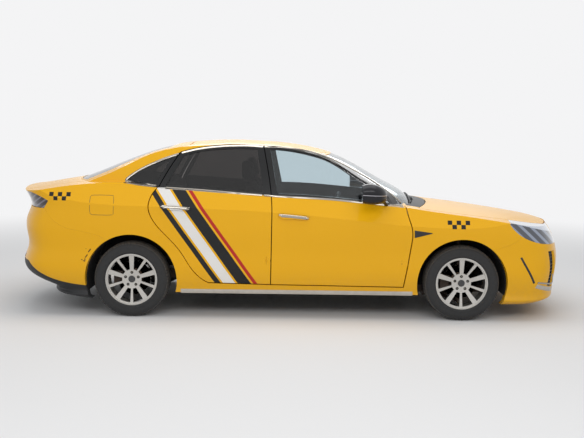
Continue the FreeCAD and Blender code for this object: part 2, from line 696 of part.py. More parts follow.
def handle(which):
    """Pull handle of one left door, standing clear of the skin between its ends."""
    outline = HANDLE_SHARES[which]
    zone = side_prism([outline], 0, DOOR_SHOULDER_Y)
    pad = handle_outer.common(zone).common(handle_lean).cut(tub_outer)
    low_s = min(s for s, h in outline) + HANDLE_END_SHARE
    high_s = max(s for s, h in outline) - HANDLE_END_SHARE
    middle = block(Vector(along(low_s), 0, 0), Vector(along(high_s), REACH, HEIGHT))
    tunnel = handle_inner.common(middle).common(handle_lean_inner)
    return solid_of(pad.cut(tunnel))


for which, door in (("front", front_door_left), ("rear", rear_door_left)):
    door = solid_of(door).fuse(handle(which))
    for height in HINGE_HEIGHTS[which]:
        door = door.cut(hinge_space(which, height))
    save(which + "_door_left", solid_of(door))
    save(which + "_door_right", mirrored(solid_of(door)))

save("front_door_glass_left", front_glass_left)
save("front_door_glass_right", mirrored(front_glass_left))
save("rear_door_glass_left", rear_glass_left)
save("rear_door_glass_right", mirrored(rear_glass_left))

arms = [hinge_arm(which, height) for which in ("front", "rear") for height in HINGE_HEIGHTS[which]]
save("door_hinges", *arms, *[mirrored(arm) for arm in arms])

# Fixed skins and glass

save("windscreen", windscreen)
save("quarter_glass", quarter_glass_left, mirrored(quarter_glass_left))
save("tailgate", tailgate)
save("tailgate_glass", rear_glass)
save("tailgate_lamp", tailgate_lamp)
save("hood", hood)
save("roof_panel", roof_panel)
save("headlamps", headlamps)
save("tail_lamps", tail_lamps)
save("rear_valance", rear_valance)
save("fenders", fender_left, mirrored(fender_left))
side_frame = solid_of(side_left)
save("side_frame_left", side_frame)
save("side_frame_right", mirrored(side_frame))
save("cowl", cowl)

# Front grille: an opening in the bumper, filled by a slatted insert


def front_prism(runs, growth, near, far):
    """Prism along the car, from an outline of (width share, height share) seen from the front."""
    scaled = grown([[(out(w), up(h)) for w, h in run] for run in runs], growth)
    edges = [spline([Vector(near, y, z) for y, z in run]) for run in scaled]
    return Part.Face(Part.Wire(edges)).extrude(Vector(far - near, 0, 0))


def looped(corners):
    """Straight runs round a closed outline."""
    return [[corners[i - 1], corners[i]] for i in range(len(corners))]


GRILLE_SHARES = looped([(-0.60, 0.300), (-0.48, 0.165), (0.48, 0.165), (0.60, 0.300)])
VENT_SHARES = looped([(0.70, 0.175), (0.86, 0.200), (0.90, 0.400), (0.80, 0.400)])
GRILLE_BACK_X = along(1.62)
GRILLE_INSET = 14.0
GRILLE_DEPTH = 16.0
SLAT_HEIGHT = 9.0
SLAT_PITCH = 30.0
RIB_WIDTH = 8.0
RIB_PITCH = 108.0
openings = front_prism(GRILLE_SHARES, 0, GRILLE_BACK_X, REACH)
vent = front_prism(VENT_SHARES, 0, GRILLE_BACK_X, REACH)
openings = openings.fuse([vent, mirrored(vent)])
front_bumper = solid_of(front_bumper.cut(openings))
save("front_bumper", front_bumper)


def insert(runs):
    """Slats, ribs and rim of one grille, following the bumper's curve."""
    whole = front_prism(runs, -FIXED_GAP, GRILLE_BACK_X, REACH)
    inner = front_prism(runs, -SLAT_HEIGHT, GRILLE_BACK_X, REACH)
    box = whole.BoundBox
    holes = []
    z = box.ZMin + SLAT_HEIGHT
    while z < box.ZMax:
        y = box.YMin + RIB_WIDTH
        while y < box.YMax:
            holes.append(block(Vector(GRILLE_BACK_X, y, z),
                               Vector(REACH, y + RIB_PITCH - RIB_WIDTH, z + SLAT_PITCH - SLAT_HEIGHT)))
            y += RIB_PITCH
        z += SLAT_PITCH
    sheet = grille_front.common(whole).cut(grille_rear)
    return solid_of(sheet.cut(Part.makeCompound(holes).common(inner)))


grille_front = flank_solid(GRILLE_INSET)
grille_rear = flank_solid(GRILLE_INSET + GRILLE_DEPTH)
grille = insert(GRILLE_SHARES)
vent_left = insert(VENT_SHARES)
save("front_grille", grille, vent_left, mirrored(vent_left))

save("rear_bumper", rear_bumper)

# Floor, bulkhead and arches

BOOT_FLOOR_SHARE = 0.30
SHEET = 22.0
LINER_OUTER_Y = out(0.91)
FIREWALL_X = along(0.72)
POST_INNER_Y = 745.0
POST_OUTER_Y = 826.0
HEEL_X = along(-0.70)
BOOT_END_X = along(-1.93)
FLOOR_LOW = up(UNDERSIDE_SHARE)
FLOOR_TOP = FLOOR_LOW + SHEET
BOOT_FLOOR_TOP = up(BOOT_FLOOR_SHARE) + SHEET


def well_block(front, radius):
    """Both wheel wells of one axle, inboard of the body sides."""
    middle = block(Vector(-REACH, -WELL_INNER, -OVERRUN), Vector(REACH, WELL_INNER, HEIGHT))
    return arch_cutter(front, radius).cut(middle)


front_wells = well_block(True, ARCH_RADIUS_FRONT)
rear_wells = well_block(False, ARCH_RADIUS_REAR)
floor_slab = block(Vector(HEEL_X, -REACH, FLOOR_LOW), Vector(FIREWALL_X, REACH, FLOOR_TOP))
tub_seat = tub_solid(WALL + SEAT_GAP, ROOF_WALL + SEAT_GAP)
floor_pan = solid_of(tub_seat.common(floor_slab).cut(rear_wells).cut(front_wells))
heel = block(Vector(HEEL_X, -REACH, FLOOR_TOP), Vector(HEEL_X + SHEET, REACH, up(BOOT_FLOOR_SHARE)))
boot_slab = block(Vector(BOOT_END_X, -REACH, up(BOOT_FLOOR_SHARE)), Vector(HEEL_X + SHEET, REACH, BOOT_FLOOR_TOP))
boot_floor = solid_of(tub_seat.common(heel.fuse(boot_slab)).cut(rear_wells))
firewall = block(Vector(FIREWALL_X, -REACH, FLOOR_LOW), Vector(FIREWALL_X + SHEET, REACH, up(0.60)))
post = block(Vector(POST_FACE_X, POST_INNER_Y, FLOOR_TOP), Vector(FIREWALL_X, POST_OUTER_Y, up(0.60)))
firewall = solid_of(tub_seat.common(firewall.fuse([post, mirrored(post)])).cut(front_wells))
save("floor_pan", floor_pan)
save("boot_floor", boot_floor)
save("firewall", firewall)


def liner(front, radius):
    """Liner of one left wheel arch."""
    length = LINER_OUTER_Y - WELL_INNER
    middle = wheel_place(front, 0) + Y_AXIS * (WELL_INNER + length / 2)
    return solid_of(ring(middle, Y_AXIS, radius, radius - LINER_THICKNESS, length).cut(underside))


liners = [liner(True, ARCH_RADIUS_FRONT), liner(False, ARCH_RADIUS_REAR)]
save("arch_liners", *liners, *[mirrored(piece) for piece in liners])

# Centre pillars: tapered boxes between sill and roof

PILLAR_DEPTH = 46.0
PILLAR_STATIONS = [
    # height, middle, half length, and how far the outer face stands inboard of PILLAR_Y
    (0.150, -0.150, 78.0, 15.0), (0.285, -0.150, 74.0, 15.0), (0.315, -0.150, 73.0, 0.0), (0.58, -0.152, 66.0, 2.0),
    (0.63, -0.155, 60.0, 38.0), (0.705, -0.162, 52.0, 50.0), (0.82, -0.183, 44.0, 120.0), (0.975, -0.212, 40.0, 220.0),
]


def pillar():
    """Left centre pillar."""
    wires = []
    for height, middle, half, inboard in PILLAR_STATIONS:
        x = along(middle)
        y = PILLAR_Y - inboard
        corners = [Vector(x - half, y, up(height)), Vector(x + half, y, up(height)),
                   Vector(x + half, y - PILLAR_DEPTH, up(height)), Vector(x - half, y - PILLAR_DEPTH, up(height))]
        wires.append(Part.makePolygon(corners + corners[:1]))
    whole = Part.makeLoft(wires, True, True)
    return solid_of(whole.cut(underside).cut(tub_shell_open).cut(cabin_shell).cut(floor_pan))


pillar_left = pillar()
save("centre_pillars", pillar_left, mirrored(pillar_left))

# Front panel that carries the hood's stops

PANEL_X = along(1.66)
PANEL_DEPTH = 60.0
PANEL_LOW = up(0.445)
PANEL_HEIGHT = 34.0
HOOD_STOP_Y = 470.0
bar = block(Vector(PANEL_X, -REACH, PANEL_LOW), Vector(PANEL_X + PANEL_DEPTH, REACH, PANEL_LOW + PANEL_HEIGHT))
front_panel = solid_of(tub_inner.common(bar))
save("front_panel", front_panel)

# Rubber stops under the closed lids

STOP_RADIUS = 12.0
TAIL_STOP_Y = 350.0
TAIL_STOP_X = along(-1.93)
sill_height = up(TAILGATE_FLOOR_SHARE)
deck_seat = deck_solid(ROOF_WALL + SEAT_GAP)
stops = []
for side in (1, -1):
    hood_stop = Part.makeCylinder(STOP_RADIUS, HEIGHT, Vector(
        PANEL_X + PANEL_DEPTH / 2, side * HOOD_STOP_Y, PANEL_LOW + PANEL_HEIGHT + SEAT_GAP))
    stops.append(hood_stop.common(deck_seat))
    stops.append(rod(Vector(TAIL_STOP_X, side * TAIL_STOP_Y, sill_height + SEAT_GAP),
                     Vector(TAIL_STOP_X, side * TAIL_STOP_Y, sill_height + PANEL_GAP * 2 - SEAT_GAP), STOP_RADIUS))
save("rubber_stops", *stops)

# Wheels

RIM_WIDTH = 178.0
RIM_WALL = 9.0
BEAD_GAP = 0.3
HUB_RADIUS = 36.0
STUB_RADIUS = 28.0
STUB_CLEARANCE = 0.08
STUB_REACH = 78.0
DISC_RADIUS = 142.0
DISC_THICKNESS = 22.0
DISC_OFFSET = 52.0
FACE_OFFSET = 58.0
FACE_DEPTH = 20.0
FACE_DISH = 16.0
CAP_RADIUS = 30.0
CAP_PROUD = 3.0
LUG_CIRCLE = 56.0
LUG_HOLE_RADIUS = 8.0
SPOKE_PAIRS = 5
WIDE_SPOKE_SHARES = (0.30, 0.17)
NARROW_SPOKE_SHARES = (0.15, 0.10)
WINDOW_INNER_RADIUS = 82.0


def turned(profile, centre):
    """Solid of revolution about the wheel's axle; profile points are (offset outboard, radius)."""
    points = [Vector(centre.x, centre.y + offset, centre.z + radius) for offset, radius in profile]
    face = Part.Face(Part.makePolygon(points + points[:1]))
    return face.revolve(centre, Y_AXIS, 360)


def tyre(centre):
    """Plain tyre: bead, bulged side walls, shoulders and tread."""
    half = TYRE_WIDTH / 2
    bead = RIM_WIDTH / 2 - RIM_WALL - BEAD_GAP
    lip = RIM_RADIUS + BEAD_GAP
    seat = RIM_RADIUS - RIM_WALL + BEAD_GAP
    side = [
        (bead, seat), (bead, lip), (half * 0.91, lip + RIM_WALL), (half, RIM_RADIUS + 0.45 * (TYRE_RADIUS - RIM_RADIUS)),
        (half * 0.97, RIM_RADIUS + 0.78 * (TYRE_RADIUS - RIM_RADIUS)), (half * 0.83, TYRE_RADIUS - RIM_WALL * 0.4),
        (half * 0.70, TYRE_RADIUS),
    ]
    return turned(side + [(-offset, radius) for offset, radius in reversed(side)], centre)


def rim(centre):
    """Cast rim with five wide and five narrow spokes, its hub, stub and brake disc."""
    half = RIM_WIDTH / 2
    seat = RIM_RADIUS - RIM_WALL
    barrel = turned([
        (-half, seat - RIM_WALL), (half, seat - RIM_WALL), (half, RIM_RADIUS), (half - RIM_WALL, RIM_RADIUS),
        (half - RIM_WALL, seat), (-half + RIM_WALL, seat), (-half + RIM_WALL, RIM_RADIUS), (-half, RIM_RADIUS),
    ], centre)
    outer = seat - RIM_WALL
    dish = turned([
        (FACE_OFFSET - FACE_DEPTH, 0), (FACE_OFFSET + CAP_PROUD, 0), (FACE_OFFSET + CAP_PROUD, CAP_RADIUS),
        (FACE_OFFSET - CAP_PROUD, CAP_RADIUS), (FACE_OFFSET, LUG_CIRCLE + LUG_HOLE_RADIUS * 2),
        (FACE_OFFSET + FACE_DISH, outer), (FACE_OFFSET + FACE_DISH, outer + RIM_WALL / 2),
        (FACE_OFFSET + FACE_DISH - FACE_DEPTH, outer + RIM_WALL / 2),
        (FACE_OFFSET + FACE_DISH - FACE_DEPTH, outer - RIM_WALL),
        (FACE_OFFSET - FACE_DEPTH, WINDOW_INNER_RADIUS),
    ], centre)
    step = math.pi / SPOKE_PAIRS
    windows = []
    for k in range(SPOKE_PAIRS * 2):
        wide_first = k % 2 == 0
        first = WIDE_SPOKE_SHARES if wide_first else NARROW_SPOKE_SHARES
        second = NARROW_SPOKE_SHARES if wide_first else WIDE_SPOKE_SHARES
        base = Vector(centre.x, centre.y, centre.z)
        points = []
        for radius, shares in ((WINDOW_INNER_RADIUS, 0), (outer - RIM_WALL, 1)):
            start = k * step + first[shares] * step
            end = (k + 1) * step - second[shares] * step
            points.append((radius, start, end))
        (r0, a0, b0), (r1, a1, b1) = points
        corners = [Vector(base.x + r * math.sin(a), base.y, base.z + r * math.cos(a))
                   for r, a in ((r0, a0), (r1, a1), (r1, b1), (r0, b0))]
        crest = Vector(base.x + r1 * math.sin((a1 + b1) / 2), base.y, base.z + r1 * math.cos((a1 + b1) / 2))
        edges = [Part.makeLine(corners[0], corners[1]), Part.Arc(corners[1], crest, corners[2]).toShape(),
                 Part.makeLine(corners[2], corners[3]), Part.makeLine(corners[3], corners[0])]
        windows.append(Part.Face(Part.Wire(edges)).extrude(Y_AXIS * RIM_WIDTH))
    lugs = [Part.makeCylinder(LUG_HOLE_RADIUS, FACE_DEPTH, centre + Vector(
        LUG_CIRCLE * math.sin(2 * k * step), FACE_OFFSET - FACE_DEPTH / 2, LUG_CIRCLE * math.cos(2 * k * step)), Y_AXIS)
        for k in range(SPOKE_PAIRS)]
    dish = dish.cut(Part.makeCompound(windows)).cut(Part.makeCompound(lugs))
    hub = turned([
        (-STUB_REACH, 0), (FACE_OFFSET - FACE_DEPTH, 0), (FACE_OFFSET - FACE_DEPTH, HUB_RADIUS * 1.9),
        (-DISC_OFFSET + DISC_THICKNESS, HUB_RADIUS * 1.9),
        (-DISC_OFFSET + DISC_THICKNESS, DISC_RADIUS), (-DISC_OFFSET, DISC_RADIUS),
        (-DISC_OFFSET, STUB_RADIUS), (-STUB_REACH, STUB_RADIUS),
    ], centre)
    return solid_of(barrel.multiFuse([dish, hub]))


for place, front in (("front", True), ("rear", False)):
    centre = wheel_place(front, 1)
    tyre_left = tyre(centre)
    rim_left = rim(centre)
    save(place + "_tyre_left", tyre_left)
    save(place + "_tyre_right", mirrored(tyre_left))
    save(place + "_rim_left", rim_left)
    save(place + "_rim_right", mirrored(rim_left))

# Knuckles, arms and axles

CARRIER_RADIUS = 52.0
CARRIER_LENGTH = 22.0
CALIPER_GAP = 6.0
CALIPER_HALF_HEIGHT = 55.0
CALIPER_PAST_DISC = 24.0
UPRIGHT_HALF = 24.0
UPRIGHT_LOW = 150.0
UPRIGHT_TOP = 158.0
KING_PIN_RADIUS = 8.0
ARM_RADIUS = 16.0
STRUT_RADIUS = 22.0
STRUT_INBOARD = 92.0
SPRING_RADIUS = 52.0


def carrier(centre):
    """Hub carrier round the stub."""
    middle = Vector(centre.x, centre.y - DISC_OFFSET - CALIPER_GAP - CARRIER_LENGTH / 2, centre.z)
    return Part.makeCylinder(CARRIER_RADIUS, CARRIER_LENGTH, middle - Y_AXIS * (CARRIER_LENGTH / 2), Y_AXIS)


def stub_space(centre):
    """Bore that a stub turns in."""
    return Part.makeCylinder(STUB_RADIUS + STUB_CLEARANCE, STUB_REACH * 2,
                             centre - Y_AXIS * (STUB_REACH + CARRIER_LENGTH / 2), Y_AXIS)


def caliper(centre):
    """Brake caliper astride the disc, behind the hub."""
    low_y = centre.y - DISC_OFFSET - CALIPER_GAP - CARRIER_LENGTH
    high_y = centre.y - DISC_OFFSET + DISC_THICKNESS + CALIPER_GAP + CARRIER_LENGTH / 2
    body = block(Vector(centre.x - DISC_RADIUS - CALIPER_PAST_DISC, low_y, centre.z - CALIPER_HALF_HEIGHT),
                 Vector(centre.x - CARRIER_RADIUS * 1.7, high_y, centre.z + CALIPER_HALF_HEIGHT))
    slot = ring(Vector(centre.x, centre.y - DISC_OFFSET + DISC_THICKNESS / 2, centre.z), Y_AXIS,
                DISC_RADIUS + CALIPER_GAP, HUB_RADIUS, DISC_THICKNESS + CALIPER_GAP * 2)
    bridge = block(Vector(centre.x - CARRIER_RADIUS * 1.8, low_y, centre.z - CALIPER_HALF_HEIGHT / 2),
                   Vector(centre.x - CARRIER_RADIUS / 2, low_y + CARRIER_LENGTH, centre.z + CALIPER_HALF_HEIGHT / 2))
    return body.cut(slot).fuse(bridge)


front_left = wheel_place(True, 1)
knuckle_y = front_left.y - DISC_OFFSET - CALIPER_GAP - CARRIER_LENGTH
king_y = knuckle_y + CARRIER_LENGTH / 2
upright_low = front_left.z - UPRIGHT_LOW
upright_top = front_left.z + UPRIGHT_TOP
upright = block(Vector(front_left.x - UPRIGHT_HALF, knuckle_y, upright_low),
                Vector(front_left.x + UPRIGHT_HALF, knuckle_y + CARRIER_LENGTH, upright_top))
king_bore = Part.makeCylinder(KING_PIN_RADIUS + PIN_GAP, HEIGHT, Vector(front_left.x, king_y, 0))
bore_keep = block(Vector(-REACH, -REACH, upright_low + CARRIER_LENGTH * 1.5),
                  Vector(REACH, REACH, upright_top - CARRIER_LENGTH * 1.5))
knuckle = carrier(front_left).fuse([upright, caliper(front_left)]).cut(stub_space(front_left))
knuckle = solid_of(knuckle.cut(king_bore.cut(bore_keep)))
save("knuckle_left", knuckle)
save("knuckle_right", mirrored(knuckle))

SUBFRAME_HALF_Y = 345.0
SUBFRAME_BACK = 260.0
SUBFRAME_AHEAD = 110.0
SUBFRAME_HALF_HEIGHT = 23.0
LEG_INNER_Y = 270.0
LEG_OUTER_Y = 330.0
ARM_SPREAD_BACK = 180.0
ARM_SPREAD_AHEAD = 60.0
arm_z = upright_low - ARM_RADIUS - SEAT_GAP
king_foot = Vector(front_left.x, king_y, arm_z)
arm_end = Part.makeCylinder(ARM_RADIUS, ARM_RADIUS * 2, Vector(front_left.x, king_y, arm_z - ARM_RADIUS))
king_low = Part.makeCylinder(KING_PIN_RADIUS, ARM_RADIUS + CARRIER_LENGTH, king_foot)
arms_left = [
    rod(Vector(front_left.x - ARM_SPREAD_BACK, SUBFRAME_HALF_Y - ARM_RADIUS, arm_z), king_foot, ARM_RADIUS * 0.8),
    rod(Vector(front_left.x + ARM_SPREAD_AHEAD, SUBFRAME_HALF_Y - ARM_RADIUS, arm_z), king_foot, ARM_RADIUS * 0.8),
    arm_end, king_low,
]
arm_left = arms_left[0].multiFuse(arms_left[1:])
subframe = block(Vector(front_left.x - SUBFRAME_BACK, -SUBFRAME_HALF_Y, arm_z - SUBFRAME_HALF_HEIGHT),
                 Vector(front_left.x + SUBFRAME_AHEAD, SUBFRAME_HALF_Y, arm_z + SUBFRAME_HALF_HEIGHT))
hollow = block(Vector(front_left.x - SUBFRAME_BACK + OVERRUN, -LEG_INNER_Y, 0),
               Vector(front_left.x + SUBFRAME_AHEAD - OVERRUN, LEG_INNER_Y, arm_z + OVERRUN))
leg = block(Vector(along(0.66), LEG_INNER_Y, arm_z), Vector(front_left.x - SUBFRAME_BACK, LEG_OUTER_Y, FLOOR_LOW))
subframe = subframe.cut(hollow).fuse([arm_left, mirrored(arm_left), leg, mirrored(leg)])
save("front_subframe", solid_of(subframe))

strut_y = king_y - STRUT_INBOARD
foot_z = upright_top + ARM_RADIUS + SEAT_GAP
liner_radius = ARCH_RADIUS_FRONT - LINER_THICKNESS
strut_top_z = front_left.z + math.sqrt(liner_radius ** 2 - SPRING_RADIUS ** 2) - SEAT_GAP
strut_parts = [
    rod(Vector(front_left.x, strut_y, foot_z - ARM_RADIUS), Vector(front_left.x, strut_y, strut_top_z), STRUT_RADIUS),
    rod(Vector(front_left.x, strut_y, foot_z), Vector(front_left.x, king_y, foot_z), ARM_RADIUS * 0.8),
    Part.makeCylinder(KING_PIN_RADIUS, ARM_RADIUS + CARRIER_LENGTH,
                      Vector(front_left.x, king_y, foot_z - ARM_RADIUS - CARRIER_LENGTH)),
    Part.makeCylinder(ARM_RADIUS, ARM_RADIUS * 2, Vector(front_left.x, king_y, foot_z - ARM_RADIUS)),
    Part.makeCylinder(SPRING_RADIUS, SHEET / 2, Vector(front_left.x, strut_y, strut_top_z - SHEET / 2)),
]
strut_left = solid_of(strut_parts[0].multiFuse(strut_parts[1:]))
save("front_struts", strut_left, mirrored(strut_left))

rear_left = wheel_place(False, 1)
hub_y = rear_left.y - DISC_OFFSET - CALIPER_GAP - CARRIER_LENGTH
BEAM_HALF = 38.0
BEAM_AHEAD = 190.0
BEAM_DROP = 50.0
BEAM_RISE = 20.0
TRAIL_OUTER_Y = WELL_INNER - 8.0
TRAIL_WIDTH = 56.0
TRAIL_RISE = 30.0
TRAIL_DROP = 40.0
trail_inner_y = TRAIL_OUTER_Y - TRAIL_WIDTH
beam = block(Vector(rear_left.x + BEAM_AHEAD - BEAM_HALF, -trail_inner_y, rear_left.z - BEAM_DROP),
             Vector(rear_left.x + BEAM_AHEAD + BEAM_HALF, trail_inner_y, rear_left.z + BEAM_RISE))
trail = block(Vector(rear_left.x - CARRIER_RADIUS, trail_inner_y, rear_left.z - TRAIL_DROP),
              Vector(HEEL_X - SEAT_GAP, TRAIL_OUTER_Y, rear_left.z + TRAIL_RISE))
spindle = rod(Vector(rear_left.x, trail_inner_y + OVERRUN / 4, rear_left.z),
              Vector(rear_left.x, hub_y + CARRIER_LENGTH / 2, rear_left.z), CARRIER_RADIUS * 0.8)
end = carrier(rear_left).fuse([trail, spindle, caliper(rear_left)]).cut(stub_space(rear_left))
save("rear_axle", solid_of(beam.fuse([end, mirrored(end)])))

# Power unit, exhaust and tank

ENGINE_HALF_Y = 440.0
ENGINE_TOP = 790.0
engine = block(Vector(along(0.87), -ENGINE_HALF_Y, arm_z + SUBFRAME_HALF_HEIGHT),
               Vector(along(1.27), ENGINE_HALF_Y, ENGINE_TOP))
save("engine_block", engine)

SILENCER_RADIUS = 88.0
SILENCER_HEIGHT = 300.0
SILENCER_X = along(-1.42)
PIPE_RADIUS = 24.0
PIPE_Y = 200.0
PIPE_LOW_Z = FLOOR_LOW - PIPE_RADIUS - 6.0
PIPE_HIGH_Z = up(BOOT_FLOOR_SHARE) - PIPE_RADIUS * 2.6
HANGER_RADIUS = 7.0
pipe_route = [
    Vector(SILENCER_X, PIPE_Y, SILENCER_HEIGHT), Vector(SILENCER_X + 190, PIPE_Y, SILENCER_HEIGHT),
    Vector(along(-1.10), PIPE_Y, PIPE_HIGH_Z), Vector(along(-0.82), PIPE_Y, PIPE_HIGH_Z),
    Vector(HEEL_X - PIPE_RADIUS * 1.6, PIPE_Y, PIPE_LOW_Z), Vector(along(0.74), PIPE_Y, PIPE_LOW_Z),
    Vector(along(0.82), PIPE_Y, PIPE_LOW_Z + 130), Vector(along(0.87) - SEAT_GAP, PIPE_Y, PIPE_LOW_Z + 130),
]
pieces = [rod(Vector(SILENCER_X, -480, SILENCER_HEIGHT), Vector(SILENCER_X, 300, SILENCER_HEIGHT), SILENCER_RADIUS)]
pieces += [rod(start, stop, PIPE_RADIUS) for start, stop in zip(pipe_route, pipe_route[1:])]
pieces += [Part.makeSphere(PIPE_RADIUS, spot) for spot in pipe_route[1:-1]]
pieces += [rod(Vector(SILENCER_X, y, SILENCER_HEIGHT), Vector(SILENCER_X, y, up(BOOT_FLOOR_SHARE) - SEAT_GAP), HANGER_RADIUS)
           for y in (-380, 240)]
save("exhaust", solid_of(pieces[0].multiFuse(pieces[1:])))

TANK_DEPTH = 62.0
TANK_ROUND = 30.0
tank = block(Vector(along(-0.68), -480, FLOOR_LOW - TANK_DEPTH), Vector(along(-0.28), 120, FLOOR_LOW - SEAT_GAP))
tank = tank.makeFillet(TANK_ROUND, [edge for edge in tank.Edges if edge.BoundBox.ZMin < FLOOR_LOW - TANK_DEPTH + 1
                                    and edge.BoundBox.ZMax < FLOOR_LOW - TANK_DEPTH + 1])
save("fuel_tank", tank)

# Cabin

SEAT_X = along(-0.04)
SEAT_Y = 370.0
SEAT_HALF = 255.0
SEAT_ROUND = 34.0
# side outlines about the seat's own point on the floor
CUSHION_OUTLINE = [(-250, 8), (265, 8), (285, 250), (240, 300), (0, 268), (-210, 262), (-250, 200)]
BACK_OUTLINE = [(-300, 215), (-205, 215), (-165, 300), (-196, 480), (-300, 840), (-345, 880), (-400, 862),
                (-392, 780), (-330, 430)]
HEAD_OUTLINE = [(-352, 895), (-318, 915), (-344, 1040), (-385, 1078), (-432, 1060), (-430, 930), (-395, 888)]


def padding(outline, centre, half, rounding):
    """Seat part: its side outline drawn across the car, with round edges."""
    points = [Vector(centre.x + x, centre.y - half, centre.z + z) for x, z in outline]
    piece = Part.Face(Part.makePolygon(points + points[:1])).extrude(Vector(0, half * 2, 0))
    rims = [edge for edge in piece.Edges if edge.BoundBox.YLength < 1]
    return piece.makeFillet(rounding, rims)


def seat(y):
    """Front seat: cushion, back and head rest on its posts."""
    centre = Vector(SEAT_X, y, FLOOR_TOP + SEAT_GAP)
    parts = [padding(CUSHION_OUTLINE, centre, SEAT_HALF, SEAT_ROUND),
             padding(BACK_OUTLINE, centre, SEAT_HALF - 12, SEAT_ROUND * 0.9),
             padding(HEAD_OUTLINE, centre, SEAT_HALF / 2, SEAT_ROUND * 0.8)]
    parts += [rod(centre + Vector(-368, offset, 850), centre + Vector(-385, offset, 960), HANGER_RADIUS)
              for offset in (-52, 52)]
    parts += [block(centre + Vector(-240, offset - 20, -SEAT_GAP), centre + Vector(250, offset + 20, 40))
              for offset in (-190, 190)]
    return solid_of(parts[0].multiFuse(parts[1:]))


save("front_seats", seat(SEAT_Y), seat(-SEAT_Y))
BENCH_HALF = 630.0
BENCH_BACK_OUTLINE = [(-120, 0), (12, 0), (40, 120), (-150, 600), (-195, 628), (-250, 600)]
bench_foot = Vector(HEEL_X, 0, BOOT_FLOOR_TOP + SEAT_GAP)
rear_space = well_block(False, ARCH_RADIUS_REAR + SEAT_GAP)
bench_cushion = padding([(22 + SEAT_GAP, 0), (420, -195), (440, -60), (385, 118), (60, 100), (22 + SEAT_GAP, 60)],
                        bench_foot, BENCH_HALF, SEAT_ROUND / 2)
bench_feet = block(Vector(HEEL_X + SHEET + SEAT_GAP, -BENCH_HALF + OVERRUN, FLOOR_TOP),
                   Vector(HEEL_X + 380, BENCH_HALF - OVERRUN, BOOT_FLOOR_TOP - 120))
bench_back = padding(BENCH_BACK_OUTLINE, bench_foot, BENCH_HALF, SEAT_ROUND / 2)
bench = bench_cushion.fuse([bench_back, bench_feet])
save("rear_bench", solid_of(bench.cut(rear_space)))

DASH_HALF = out(0.78)
DASH_SHARES = [(0.715, 0.590), (0.60, 0.596), (0.46, 0.585), (0.405, 0.560), (0.395, 0.500), (0.44, 0.440),
               (0.50, 0.405), (0.715, 0.405)]
COLUMN_RADIUS = 30.0
SHAFT_RADIUS = 11.0
CONSOLE_HALF = 105.0
CONSOLE_TOP = 520.0
CONSOLE_START_X = along(0.0)
WHEEL_RING_RADIUS = 178.0
WHEEL_GRIP_RADIUS = 15.0
WHEEL_BOSS_RADIUS = 48.0
WHEEL_BOSS_DEPTH = 34.0
column_top = Vector(along(0.26), SEAT_Y, 790)
column_foot = Vector(along(0.42), SEAT_Y, 710)
column_axis = (column_top - column_foot).normalize()
dash_points = [Vector(min(along(s), FIREWALL_X - SEAT_GAP), -DASH_HALF, up(h)) for s, h in DASH_SHARES]
dash = Part.Face(Part.makePolygon(dash_points + dash_points[:1])).extrude(Vector(0, DASH_HALF * 2, 0))
column = rod(column_top, column_foot, COLUMN_RADIUS)
console = block(Vector(CONSOLE_START_X, -CONSOLE_HALF, FLOOR_TOP + SEAT_GAP),
                Vector(FIREWALL_X - SEAT_GAP, CONSOLE_HALF, CONSOLE_TOP))
riser = block(Vector(along(0.42), -CONSOLE_HALF, CONSOLE_TOP - OVERRUN),
              Vector(FIREWALL_X - SEAT_GAP, CONSOLE_HALF, up(0.45)))
shaft_space = rod(column_top - column_axis * 90, column_top + column_axis * OVERRUN, SHAFT_RADIUS + PIN_GAP)
dashboard = dash.fuse([column, console, riser]).cut(shaft_space).cut(cabin_shell).cut(tub_shell_open)
save("dashboard", solid_of(dashboard))

wheel_centre = column_top + column_axis * 6
torus = Part.makeTorus(WHEEL_RING_RADIUS, WHEEL_GRIP_RADIUS, wheel_centre + column_axis * 22, column_axis)
boss = Part.makeCylinder(WHEEL_BOSS_RADIUS, WHEEL_BOSS_DEPTH, wheel_centre, column_axis)
shaft = rod(column_top - column_axis * 80, wheel_centre + column_axis * 5, SHAFT_RADIUS)
turn = FreeCAD.Placement(wheel_centre, Rotation(Z_AXIS, column_axis))
cross = block(Vector(-14, -WHEEL_RING_RADIUS, 10), Vector(14, WHEEL_RING_RADIUS, 26))
down = block(Vector(0, -12, 10), Vector(WHEEL_RING_RADIUS, 12, 26))
cross.Placement = turn
down.Placement = turn
save("steering_wheel", solid_of(torus.fuse([boss, shaft, cross, down])))

# Mirrors

# place, inner edge, outer edge, low edge and high edge of the mirror shell, from its glass forward
MIRROR_STATIONS = [
    (0.382, 0.995, 1.195, 0.672, 0.768), (0.415, 0.985, 1.200, 0.666, 0.777),
    (0.470, 0.985, 1.185, 0.666, 0.770), (0.515, 0.995, 1.120, 0.676, 0.744),
    (0.530, 1.010, 1.060, 0.688, 0.720),
]
MIRROR_FOOT = Vector(along(0.545), out(0.880), up(0.643))
MIRROR_NECK = Vector(along(0.500), out(1.030), up(0.692))
MIRROR_ARM_RADIUS = 15.0


def mirror_shell():
    """Rounded mirror housing, lofted from its glass to its nose."""
    wires = []
    for s, inner, outer, low, high in MIRROR_STATIONS:
        middle = Vector(along(s), out((inner + outer) / 2), up((low + high) / 2))
        half_y = out(outer - inner) / 2
        half_z = up(high - low) / 2
        points = []
        for k in range(12):
            angle = 2 * math.pi * k / 12
            bulge = (abs(math.cos(angle)) ** 3 + abs(math.sin(angle)) ** 3) ** (-1 / 3)
            points.append(middle + Vector(0, half_y * bulge * math.cos(angle), half_z * bulge * math.sin(angle)))
        curve = Part.BSplineCurve()
        curve.interpolate(points, PeriodicFlag=True)
        wires.append(Part.Wire([curve.toShape()]))
    return Part.makeLoft(wires, True, False)


